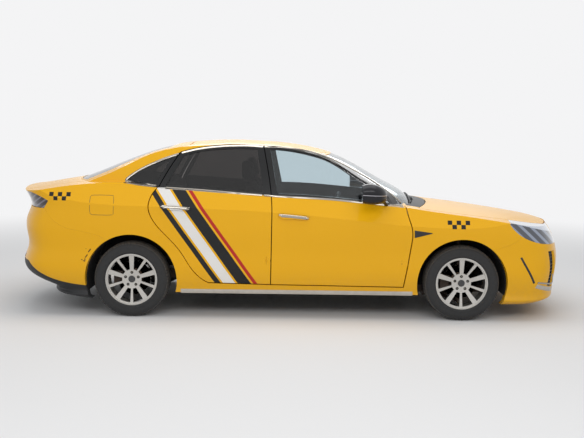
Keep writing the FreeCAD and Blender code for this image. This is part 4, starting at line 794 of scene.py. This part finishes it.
class TAXI_OT_flank_trim(bpy.types.Operator):
    """Silver sill strips, vents behind the front wheels and the edge of the fuel flap"""
    bl_idname = "taxi.flank_trim"
    bl_label = "Flank trim"

    def execute(self, context):
        sizes = context.scene.taxi_moulding
        for word, side in SIDES:
            inward = Vector((0, -side, 0))
            piece = strip(flank(SILL, side), sizes.sill_width, 0.004, [f"side_frame_{word}"], inward)
            settled(piece, f"sill_strip_{word}", "body", "silver")
            piece = patch(flank(VENT, side), 0.003, ["fenders"], inward)
            settled(piece, f"fender_vent_{word}", "body", "black_plastic")
        low_x, high_x, low_z, high_z = FLAP
        turn = FLAP_CORNER
        loop = [(low_x + turn, low_z), (high_x - turn, low_z), (high_x, low_z + turn), (high_x, high_z - turn),
                (high_x - turn, high_z), (low_x + turn, high_z), (low_x, high_z - turn), (low_x, low_z + turn),
                (low_x + turn, low_z)]
        piece = strip(flank(loop, -1), 0.003, 0.0008, ["side_frame_right"], Vector((0, 1, 0)), sink=0.0005,
                      edge=0, down=1)
        settled(piece, "fuel_flap_edge", "body", "black_plastic")
        return {"FINISHED"}


PULLS = {
    "front_door": [(-0.088, 0.872), (-0.03, 0.87), (0.04, 0.864), (0.11, 0.857), (0.156, 0.851)],
    "rear_door": [(-1.064, 0.933), (-1.0, 0.933), (-0.94, 0.929), (-0.88, 0.923), (-0.827, 0.917)],
}


class TAXI_OT_handles(bpy.types.Operator):
    """Bright caps on the door pulls"""
    bl_idname = "taxi.handles"
    bl_label = "Door pulls"

    def execute(self, context):
        for word, side in SIDES:
            for door, line in PULLS.items():
                node = f"{door}_{word}"
                piece = strip(flank(line, side), 0.024, 0.005, [node], Vector((0, -side, 0)), edge=0.002)
                settled(piece, f"{door}_pull_{word}", node, "chrome")
        return {"FINISHED"}


class TaxiTyreSettings(bpy.types.PropertyGroup):
    """Sizes of the tyres' tread."""
    blocks: bpy.props.IntProperty(name="Blocks", description="Tread blocks round each tyre", default=72)
    groove: length("Groove", "Depth of the grooves round the tread", 0.007)
    sipe: length("Cut", "Depth of the cuts across the shoulders", 0.005)


# Offsets from the tyre's middle and radii, from the bead outside to the middle of the tread
TYRE_SIDE = [
    (0.079, 0.214), (0.093, 0.218), (0.0985, 0.229), (0.101, 0.231), (0.1016, 0.236), (0.1005, 0.24),
    (0.1022, 0.256), (0.102, 0.27), (0.099, 0.286), (0.0965, 0.2905), (0.0968, 0.2925), (0.094, 0.297),
    (0.0895, 0.303), (0.083, 0.3075), (0.075, 0.3103), (0.061, 0.3125),
]
TYRE_GROOVES = [(0.06, 1), (0.052, 1), (0.051, 0), (0.026, 0), (0.025, 1), (0.017, 1), (0.016, 0)]
TYRE_INSIDE = [(0.07, 0.214), (0.084, 0.23), (0.09, 0.26), (0.085, 0.288), (0.06, 0.296)]
TREAD_RADIUS = TYRE_RADIUS - 0.0004
BLOCK_PLACES = (0.0, 0.76, 0.8, 0.96)
SHOULDER_FROM = 0.06
SHOULDER_RADIUS = 0.296


class TAXI_OT_tyres(bpy.types.Operator):
    """Tyres with grooves round the tread and cut shoulder blocks, in the CAD tyres' places"""
    bl_idname = "taxi.tyres"
    bl_label = "Tyres"

    def execute(self, context):
        pattern = self.make_pattern(context.scene.taxi_tyre)
        for axle, word, x, side in WHEELS:
            mesh = pattern.copy()
            mesh.transform(Matrix.Translation((x, side * WHEEL_Y, WHEEL_Z)))
            piece = from_mesh(mesh)
            settled(piece, f"treaded_tyre_{axle}_{word}", f"{axle}_wheel_{word}", "tyre", smooth=30.0)
            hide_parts(f"{axle}_tyre_{word}")
        bpy.data.meshes.remove(pattern)
        return {"FINISHED"}

    def make_pattern(self, sizes):
        """Mesh of one tyre about the origin."""
        outer = TYRE_SIDE + [(offset, TREAD_RADIUS - sizes.groove * deep) for offset, deep in TYRE_GROOVES]
        outline = outer + [(-offset, radius) for offset, radius in reversed(outer)]
        outline += [(-offset, radius) for offset, radius in TYRE_INSIDE] + TYRE_INSIDE[::-1]
        steps = sizes.blocks * len(BLOCK_PLACES)
        piece = spun([(0, offset, radius) for offset, radius in outline], steps, (0, 0, 0))
        for vertex in piece.data.vertices:
            radius = math.hypot(vertex.co.x, vertex.co.z)
            step = round(math.atan2(vertex.co.x, vertex.co.z) % (2 * math.pi) / (2 * math.pi) * steps) % steps
            block, place_in = divmod(step, len(BLOCK_PLACES))
            angle = 2 * math.pi * (block + BLOCK_PLACES[place_in]) / sizes.blocks
            if place_in > 1 and radius > SHOULDER_RADIUS and abs(vertex.co.y) > SHOULDER_FROM:
                radius -= sizes.sipe
            vertex.co = (radius * math.sin(angle), vertex.co.y, radius * math.cos(angle))
        mesh = piece.data
        bpy.data.objects.remove(piece)
        return mesh


class TaxiWheelSettings(bpy.types.PropertyGroup):
    """Sizes of the wheels' fittings."""
    nut_circle: length("Nut circle", "Radius of the circle of wheel nuts", NUT_CIRCLE)
    nut_radius: length("Nut radius", "Radius of a nut across its corners", 0.0072)


NUT_PROUD = 0.006
NUT_OUT = 0.01
HUB_PROBE = 0.04


class TAXI_OT_wheel_nuts(bpy.types.Operator):
    """Five domed hexagon nuts in each wheel"""
    bl_idname = "taxi.wheel_nuts"
    bl_label = "Wheel nuts"

    def execute(self, context):
        sizes = context.scene.taxi_wheel
        for axle, word, x, side in WHEELS:
            probe = Vector((x + HUB_PROBE, side * FLANK_Y, WHEEL_Z))
            hub = met([f"{axle}_rim_{word}"], probe, Vector((0, -side, 0)))
            nuts = [self.make_nut(sizes.nut_radius, (x + along, hub.y - side * NUT_OUT, WHEEL_Z + up), side)
                    for along, up in nut_places(sizes.nut_circle)]
            only(nuts[0])
            for nut in nuts:
                nut.select_set(True)
            bpy.ops.object.join()
            settled(bpy.context.object, f"wheel_nuts_{axle}_{word}", f"{axle}_wheel_{word}", "chrome")
        return {"FINISHED"}

    def make_nut(self, radius, spot, side):
        """Nut with a raised, hollowed top."""
        clear_selection()
        bpy.ops.mesh.primitive_cylinder_add(vertices=6, radius=radius, depth=NUT_PROUD * 2, location=spot,
                                            rotation=(-side * math.pi / 2, 0, 0))
        nut = bpy.context.object
        bpy.ops.object.mode_set(mode="EDIT")
        bpy.ops.mesh.select_all(action="DESELECT")
        bpy.ops.object.mode_set(mode="OBJECT")
        for face in nut.data.polygons:
            face.select = face.normal.z > 0.9
        bpy.ops.object.mode_set(mode="EDIT")
        bpy.ops.mesh.select_mode(type="FACE")
        bpy.ops.mesh.inset(thickness=radius * 0.25, depth=radius * 0.2)
        bpy.ops.mesh.inset(thickness=radius * 0.3, depth=-radius * 0.25)
        bpy.ops.object.mode_set(mode="OBJECT")
        return nut


class TaxiStageSettings(bpy.types.PropertyGroup):
    """Sizes and light of the studio."""
    floor_radius: length("Floor radius", "Distance the floor reaches from the car", 120.0)
    world_light: bpy.props.FloatProperty(
        name="World light", description="Strength of the even light from all round", default=0.62)
    key_light: bpy.props.FloatProperty(
        name="Key light", description="Power of the large soft lamp beside the car", default=190.0, unit="POWER")


BACKDROP = "#F4F4F5"
FADE_NEAR = 4.2
FADE_FAR = 9.0

# Name, place, aim, size and share of the key light of each lamp
LAMPS = (
    ("lamp_overhead", (0, -0.5, 4.8), (0, 0, 0), (6.0, 3.0), 0.45),
    ("lamp_near_side", (0, -6.5, 3.6), (0, 0, 0.5), (8.0, 1.6), 0.75),
    ("lamp_far_side", (0, 6.5, 3.6), (0, 0, 0.5), (8.0, 1.6), 0.5),
)


class TAXI_OT_stage(bpy.types.Operator):
    """Floor, soft studio light and the camera at the photograph's viewing angle"""
    bl_idname = "taxi.stage"
    bl_label = "Studio stage"

    def execute(self, context):
        settings = context.scene.taxi_stage
        self.make_floor(settings)
        self.make_world(context, settings)
        self.make_lamps(settings)
        self.make_camera(context)
        context.scene.view_settings.view_transform = "Standard"
        return {"FINISHED"}

    def seen_rays(self, tree):
        """1 for the rays that a viewer sees, 0 for those that only light the car."""
        rays = add(tree, "ShaderNodeLightPath").outputs
        return any_of([Value(tree, rays[name]) for name in (
            "Is Camera Ray", "Is Glossy Ray", "Is Transmission Ray")])

    def make_floor(self, settings):
        """Pale floor that fades into the backdrop."""
        clear_selection()
        bpy.ops.mesh.primitive_circle_add(vertices=128, radius=settings.floor_radius, fill_type="NGON")
        floor = bpy.context.object
        floor.name = "studio_floor"
        material, tree, output = blank_material("pale studio floor")
        at = Spot(tree)
        fade = add(tree, "ShaderNodeMapRange", {
            "Value": maths("SQRT", at.x * at.x + at.y * at.y), "From Min": FADE_NEAR, "From Max": FADE_FAR,
        }, interpolation_type="SMOOTHSTEP").outputs[0]
        mixed = add(tree, "ShaderNodeMixShader", {
            0: self.seen_rays(tree) * fade,
            1: add(tree, "ShaderNodeBsdfDiffuse", {"Color": "#E6E6E6"}).outputs[0],
            2: add(tree, "ShaderNodeEmission", {"Color": BACKDROP, "Strength": 1.0}).outputs[0]})
        tree.links.new(mixed.outputs[0], output.inputs["Surface"])
        floor.data.materials.append(material)

    def make_world(self, context, settings):
        """Even light, with the backdrop for what a viewer sees."""
        world = bpy.data.worlds.new("studio")
        context.scene.world = world
        world.use_nodes = True
        tree = world.node_tree
        tree.nodes.clear()
        light, shown = [add(tree, "ShaderNodeBackground", {"Color": code, "Strength": strength}).outputs[0]
                        for code, strength in (("#F4F5F7", settings.world_light), (BACKDROP, 1.0))]
        mixed = add(tree, "ShaderNodeMixShader", {0: self.seen_rays(tree), 1: light, 2: shown})
        add(tree, "ShaderNodeOutputWorld", {"Surface": mixed.outputs[0]})

    def make_lamps(self, settings):
        """Large soft lamps over the car and beside it."""
        for name, spot, aim, size, share in LAMPS:
            data = bpy.data.lights.new(name, "AREA")
            data.shape = "RECTANGLE"
            data.size, data.size_y = size
            data.energy = settings.key_light * share
            lamp = bpy.data.objects.new(name, data)
            bpy.context.collection.objects.link(lamp)
            lamp.location = spot
            lamp.rotation_euler = (Vector(aim) - Vector(spot)).to_track_quat("-Z", "Y").to_euler()

    def make_camera(self, context):
        """Camera that was fitted to the photograph."""
        data = bpy.data.cameras.new("camera")
        data.sensor_width = SENSOR_WIDTH
        data.lens = FOCAL_PIXELS * SENSOR_WIDTH / PHOTO_WIDTH
        camera = bpy.data.objects.new("camera", data)
        context.collection.objects.link(camera)
        turn = (Matrix.Rotation(-CAMERA_YAW, 4, "Z") @ Matrix.Rotation(math.pi / 2 - CAMERA_PITCH, 4, "X")
                @ Matrix.Rotation(CAMERA_ROLL, 4, "Z"))
        camera.matrix_world = Matrix.Translation(CAMERA_PLACE) @ turn
        context.scene.camera = camera


class TAXI_OT_finishes(bpy.types.Operator):
    """Finish of every solid of the frame"""
    bl_idname = "taxi.finishes"
    bl_label = "Finishes"

    def execute(self, context):
        for name, node in NODES.items():
            node.data.materials.clear()
            node.data.materials.append(finish_of(NODE_FINISHES[name]))
        return {"FINISHED"}


# Offsets from the disc's face and radii
DISC_OUTLINE = [
    (0.0, 0.04), (0.0, 0.078), (-0.008, 0.08), (-0.008, 0.142), (-0.018, 0.142), (-0.018, 0.134),
    (-0.022, 0.134), (-0.022, 0.142), (-0.032, 0.142), (-0.032, 0.08), (-0.038, 0.078), (-0.038, 0.04),
]
DISC_FACE = 0.752
DISC_STEPS = 96


class TAXI_OT_brake_discs(bpy.types.Operator):
    """Vented brake discs seen between the spokes"""
    bl_idname = "taxi.brake_discs"
    bl_label = "Brake discs"

    def execute(self, context):
        for axle, word, x, side in WHEELS:
            places = [(x, side * (DISC_FACE + offset), WHEEL_Z + radius) for offset, radius in DISC_OUTLINE]
            piece = spun(places, DISC_STEPS, (x, 0, WHEEL_Z))
            settled(piece, f"brake_disc_{axle}_{word}", f"{axle}_wheel_{word}", "disc")
        return {"FINISHED"}


WELL_WALL_Y = 0.506
WELL_WALL_RADIUS = 0.378
WELL_WALL_LOW = {"front": 0.24, "rear": 0.385}


class TAXI_OT_well_walls(bpy.types.Operator):
    """Inner walls that close the wheel wells"""
    bl_idname = "taxi.well_walls"
    bl_label = "Wheel well walls"

    def execute(self, context):
        for axle, word, x, side in WHEELS:
            clear_selection()
            bpy.ops.mesh.primitive_circle_add(
                vertices=64, radius=WELL_WALL_RADIUS, fill_type="NGON",
                location=(x, side * WELL_WALL_Y, WHEEL_Z), rotation=(math.pi / 2, 0, 0))
            piece = bpy.context.object
            bpy.ops.object.transform_apply(location=True, rotation=True, scale=True)
            edit_all()
            bpy.ops.mesh.bisect(plane_co=(0, 0, WELL_WALL_LOW[axle]), plane_no=(0, 0, 1), clear_inner=True)
            bpy.ops.object.mode_set(mode="OBJECT")
            applied(piece, "SOLIDIFY", thickness=0.003, offset=0.0)
            settled(piece, f"well_wall_{axle}_{word}", "body", "liner")
        return {"FINISHED"}


# Ends along the car and height of each door's plate, and half of a plate's height
HINGE_PLATES = {"front_door": (0.904, 0.9805, 0.48), "rear_door": (-0.218, -0.1575, 0.4945)}
HINGE_PLATE_HALF = 0.018


class TAXI_OT_hinge_covers(bpy.types.Operator):
    """Thin painted plates that close each door's skin over its lower hinge"""
    bl_idname = "taxi.hinge_covers"
    bl_label = "Hinge covers"

    def execute(self, context):
        for word, side in SIDES:
            for door, (low, high, level) in HINGE_PLATES.items():
                foot, top = level - HINGE_PLATE_HALF, level + HINGE_PLATE_HALF
                corners = flank([(low, foot), (high, foot), (high, top), (low, top)], side)
                piece = patch(corners, 0.0012, [f"{door}_{word}"], Vector((0, -side, 0)), sink=0.0003,
                              edge=0.0003, across=12)
                settled(piece, f"{door}_hinge_cover_{word}", f"{door}_{word}", door)
        return {"FINISHED"}


# Name, points on the left, width, height over the skin and finish
FRONT_TRIM = (
    ("bumper_slot", [(1.874, 0.82, 0.545), (1.925, 0.81, 0.44), (1.987, 0.8, 0.325)], 0.016, 0.002,
     "black_plastic"),
    ("bumper_lip", [(2.015, 0.8, 0.3), (2.11, 0.78, 0.277), (2.19, 0.72, 0.258), (2.26, 0.62, 0.248)],
     0.034, 0.004, "silver"),
    ("bumper_angle", [(2.02, 0.8, 0.329), (2.1, 0.785, 0.32), (2.172, 0.74, 0.311), (2.18, 0.735, 0.345),
                      (2.175, 0.74, 0.393)], 0.014, 0.005, "chrome"),
)


class TAXI_OT_front_trim(bpy.types.Operator):
    """Silver lip and angle at each corner of the front bumper, and the dark slot along its fold"""
    bl_idname = "taxi.front_trim"
    bl_label = "Front trim"

    def execute(self, context):
        for word, side in SIDES:
            for name, points, width, proud, key in FRONT_TRIM:
                piece = strip([(x, side * y, z) for x, y, z in points], width, proud, ["front_bumper"])
                settled(piece, f"{name}_{word}", "body", key)
        return {"FINISHED"}


class TaxiWiperSettings(bpy.types.PropertyGroup):
    """Sizes of the wipers."""
    blade: length("Blade", "Thickness of a wiper blade", 0.012)


# Ends of both wipers in plan, the bow between them, where the look for the glass starts, and the height without it
WIPER_LINES = (((1.035, 0.56), (1.05, 0.02)), ((1.05, -0.02), (1.035, -0.56)))
WIPER_BOW = 0.012
WIPER_STEPS = 8
WIPER_ABOVE = 1.15
WIPER_LEVEL = 0.95


class TAXI_OT_wipers(bpy.types.Operator):
    """Two wipers parked along the foot of the windscreen"""
    bl_idname = "taxi.wipers"
    bl_label = "Wipers"

    def execute(self, context):
        size = context.scene.taxi_wiper.blade
        down = Vector((0, 0, -1))
        for index, (start, end) in enumerate(WIPER_LINES):
            points = []
            for step in range(WIPER_STEPS + 1):
                share = step / WIPER_STEPS
                x = start[0] + (end[0] - start[0]) * share + WIPER_BOW * math.sin(math.pi * share)
                y = start[1] + (end[1] - start[1]) * share
                hit = met(["windscreen", "cowl", "hood"], Vector((x, y, WIPER_ABOVE)), down)
                points.append((hit or Vector((x, y, WIPER_LEVEL))) - down * size * 0.9)
            piece = grid(32, 1)
            for vertex in piece.data.vertices:
                point, direction = along_line(points, vertex.co.x + 0.5)
                taper = 1.0 - abs(vertex.co.x)
                vertex.co = point + direction.cross(down).normalized() * vertex.co.y * size * 1.6 * taper
            applied(piece, "SOLIDIFY", thickness=size, offset=0.0)
            applied(piece, "BEVEL", width=size * 0.2, segments=2, limit_method="ANGLE", angle_limit=0.8)
            settled(piece, f"wiper_{index + 1}", "body", "black_plastic")
        return {"FINISHED"}


class TaxiSeatSettings(bpy.types.PropertyGroup):
    """How the seats are padded."""
    voxel: length("Voxel", "Size of the faces that the padding is worked in", 0.012)
    pressure: bpy.props.FloatProperty(
        name="Pressure", description="Pressure that fills the covers", default=4.0)
    swell: length("Swell", "Furthest that a cover may move", 0.008)


SEAT_FRAMES = 20
SEAM_DEPTH = 0.006
SEAM_WIDTH = 0.01


class TAXI_OT_seats(bpy.types.Operator):
    """Front seats and rear bench as padded cloth covers, in the CAD seats' places"""
    bl_idname = "taxi.seats"
    bl_label = "Seats"

    def execute(self, context):
        sizes = context.scene.taxi_seat
        covers = (
            ("front_seat_left", "front_seats", lambda y: y > 0),
            ("front_seat_right", "front_seats", lambda y: y < 0),
            ("rear_bench_cover", "rear_bench", lambda y: True),
        )
        for name, node, keep in covers:
            piece = self.copied(node, keep)
            applied(piece, "REMESH", mode="VOXEL", voxel_size=sizes.voxel, use_smooth_shade=True)
            self.fill(context.scene, piece, sizes)
            applied(piece, "SMOOTH", factor=0.5, iterations=2)
            self.sew(piece)
            applied(piece, "SUBSURF", levels=1, render_levels=1)
            settled(piece, name, "body", "upholstery", smooth=80.0)
            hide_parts(node)
        return {"FINISHED"}

    def copied(self, node, keep):
        """Copy of a node, of the points whose place across the car is to be kept."""
        mesh = NODES[node].data.copy()
        work = bmesh.new()
        work.from_mesh(mesh)
        bmesh.ops.remove_doubles(work, verts=work.verts, dist=0.00001)
        bmesh.ops.delete(work, geom=[v for v in work.verts if not keep(v.co.y)], context="VERTS")
        work.to_mesh(mesh)
        work.free()
        return from_mesh(mesh)

    def fill(self, scene, piece, sizes):
        """Blows a cover up as cloth under pressure, no further than it may move."""
        before = [v.co.copy() for v in piece.data.vertices]
        only(piece)
        cloth = piece.modifiers.new("cloth", "CLOTH")
        cloth.settings.use_pressure = True
        cloth.settings.uniform_pressure_force = sizes.pressure
        cloth.settings.effector_weights.gravity = 0
        cloth.settings.quality = 4
        cloth.point_cache.frame_start = 1
        cloth.point_cache.frame_end = SEAT_FRAMES
        for step in range(1, SEAT_FRAMES + 1):
            scene.frame_set(step)
        bpy.ops.object.modifier_apply(modifier=cloth.name)
        scene.frame_set(1)
        for vertex, old in zip(piece.data.vertices, before):
            move = vertex.co - old
            if move.length > sizes.swell:
                vertex.co = old + move * (sizes.swell / move.length)

    def sew(self, piece):
        """Sewn channels on both sides of each seat's middle panel."""
        for vertex in piece.data.vertices:
            off = abs(abs(abs(vertex.co.y) - SEAT_MIDDLE) - SEAM_OFF)
            depth = SEAM_DEPTH * max(0.0, 1 - off / SEAM_WIDTH)
            if depth:
                vertex.co = vertex.co - vertex.normal * depth


REFLECTOR = ((-2.36, 0.6, 0.475), (-2.37, 0.5, 0.475), (-2.38, 0.4, 0.475))


class TAXI_OT_rear_trim(bpy.types.Operator):
    """Two reflectors on the rear bumper"""
    bl_idname = "taxi.rear_trim"
    bl_label = "Rear trim"

    def execute(self, context):
        for word, side in SIDES:
            line = [(x, side * y, z) for x, y, z in REFLECTOR]
            piece = strip(line, 0.03, 0.004, ["rear_bumper"], Vector((1, 0, 0)))
            settled(piece, f"reflector_{word}", "body", "smoked_lens")
        return {"FINISHED"}


OPERATORS = (
    TAXI_OT_stage, TAXI_OT_finishes, TAXI_OT_mouldings, TAXI_OT_flank_trim, TAXI_OT_handles, TAXI_OT_tyres,
    TAXI_OT_wheel_nuts, TAXI_OT_brake_discs, TAXI_OT_well_walls, TAXI_OT_hinge_covers, TAXI_OT_front_trim,
    TAXI_OT_wipers, TAXI_OT_seats, TAXI_OT_rear_trim,
)


class TAXI_PT_panel(bpy.types.Panel):
    """Buttons for the taxi cab's pieces"""
    bl_idname = "TAXI_PT_panel"
    bl_label = "Taxi cab"
    bl_space_type = "VIEW_3D"
    bl_region_type = "UI"
    bl_category = "Taxi cab"

    def draw(self, context):
        for operator in OPERATORS:
            self.layout.operator(operator.bl_idname)


GROUPS = {
    "taxi_stage": TaxiStageSettings,
    "taxi_moulding": TaxiMouldingSettings,
    "taxi_tyre": TaxiTyreSettings,
    "taxi_wheel": TaxiWheelSettings,
    "taxi_wiper": TaxiWiperSettings,
    "taxi_seat": TaxiSeatSettings,
}


def register():
    """Registers the settings, operators and panel."""
    for name, group in GROUPS.items():
        bpy.utils.register_class(group)
        setattr(bpy.types.Scene, name, bpy.props.PointerProperty(type=group))
    for operator in OPERATORS:
        bpy.utils.register_class(operator)
    bpy.utils.register_class(TAXI_PT_panel)


def unregister():
    """Removes what register added."""
    bpy.utils.unregister_class(TAXI_PT_panel)
    for operator in reversed(OPERATORS):
        bpy.utils.unregister_class(operator)
    for name, group in GROUPS.items():
        delattr(bpy.types.Scene, name)
        bpy.utils.unregister_class(group)


def main():
    register()
    for operator in OPERATORS:
        group, name = operator.bl_idname.split(".")
        getattr(getattr(bpy.ops, group), name)()


if __name__ == "__main__":
    main()
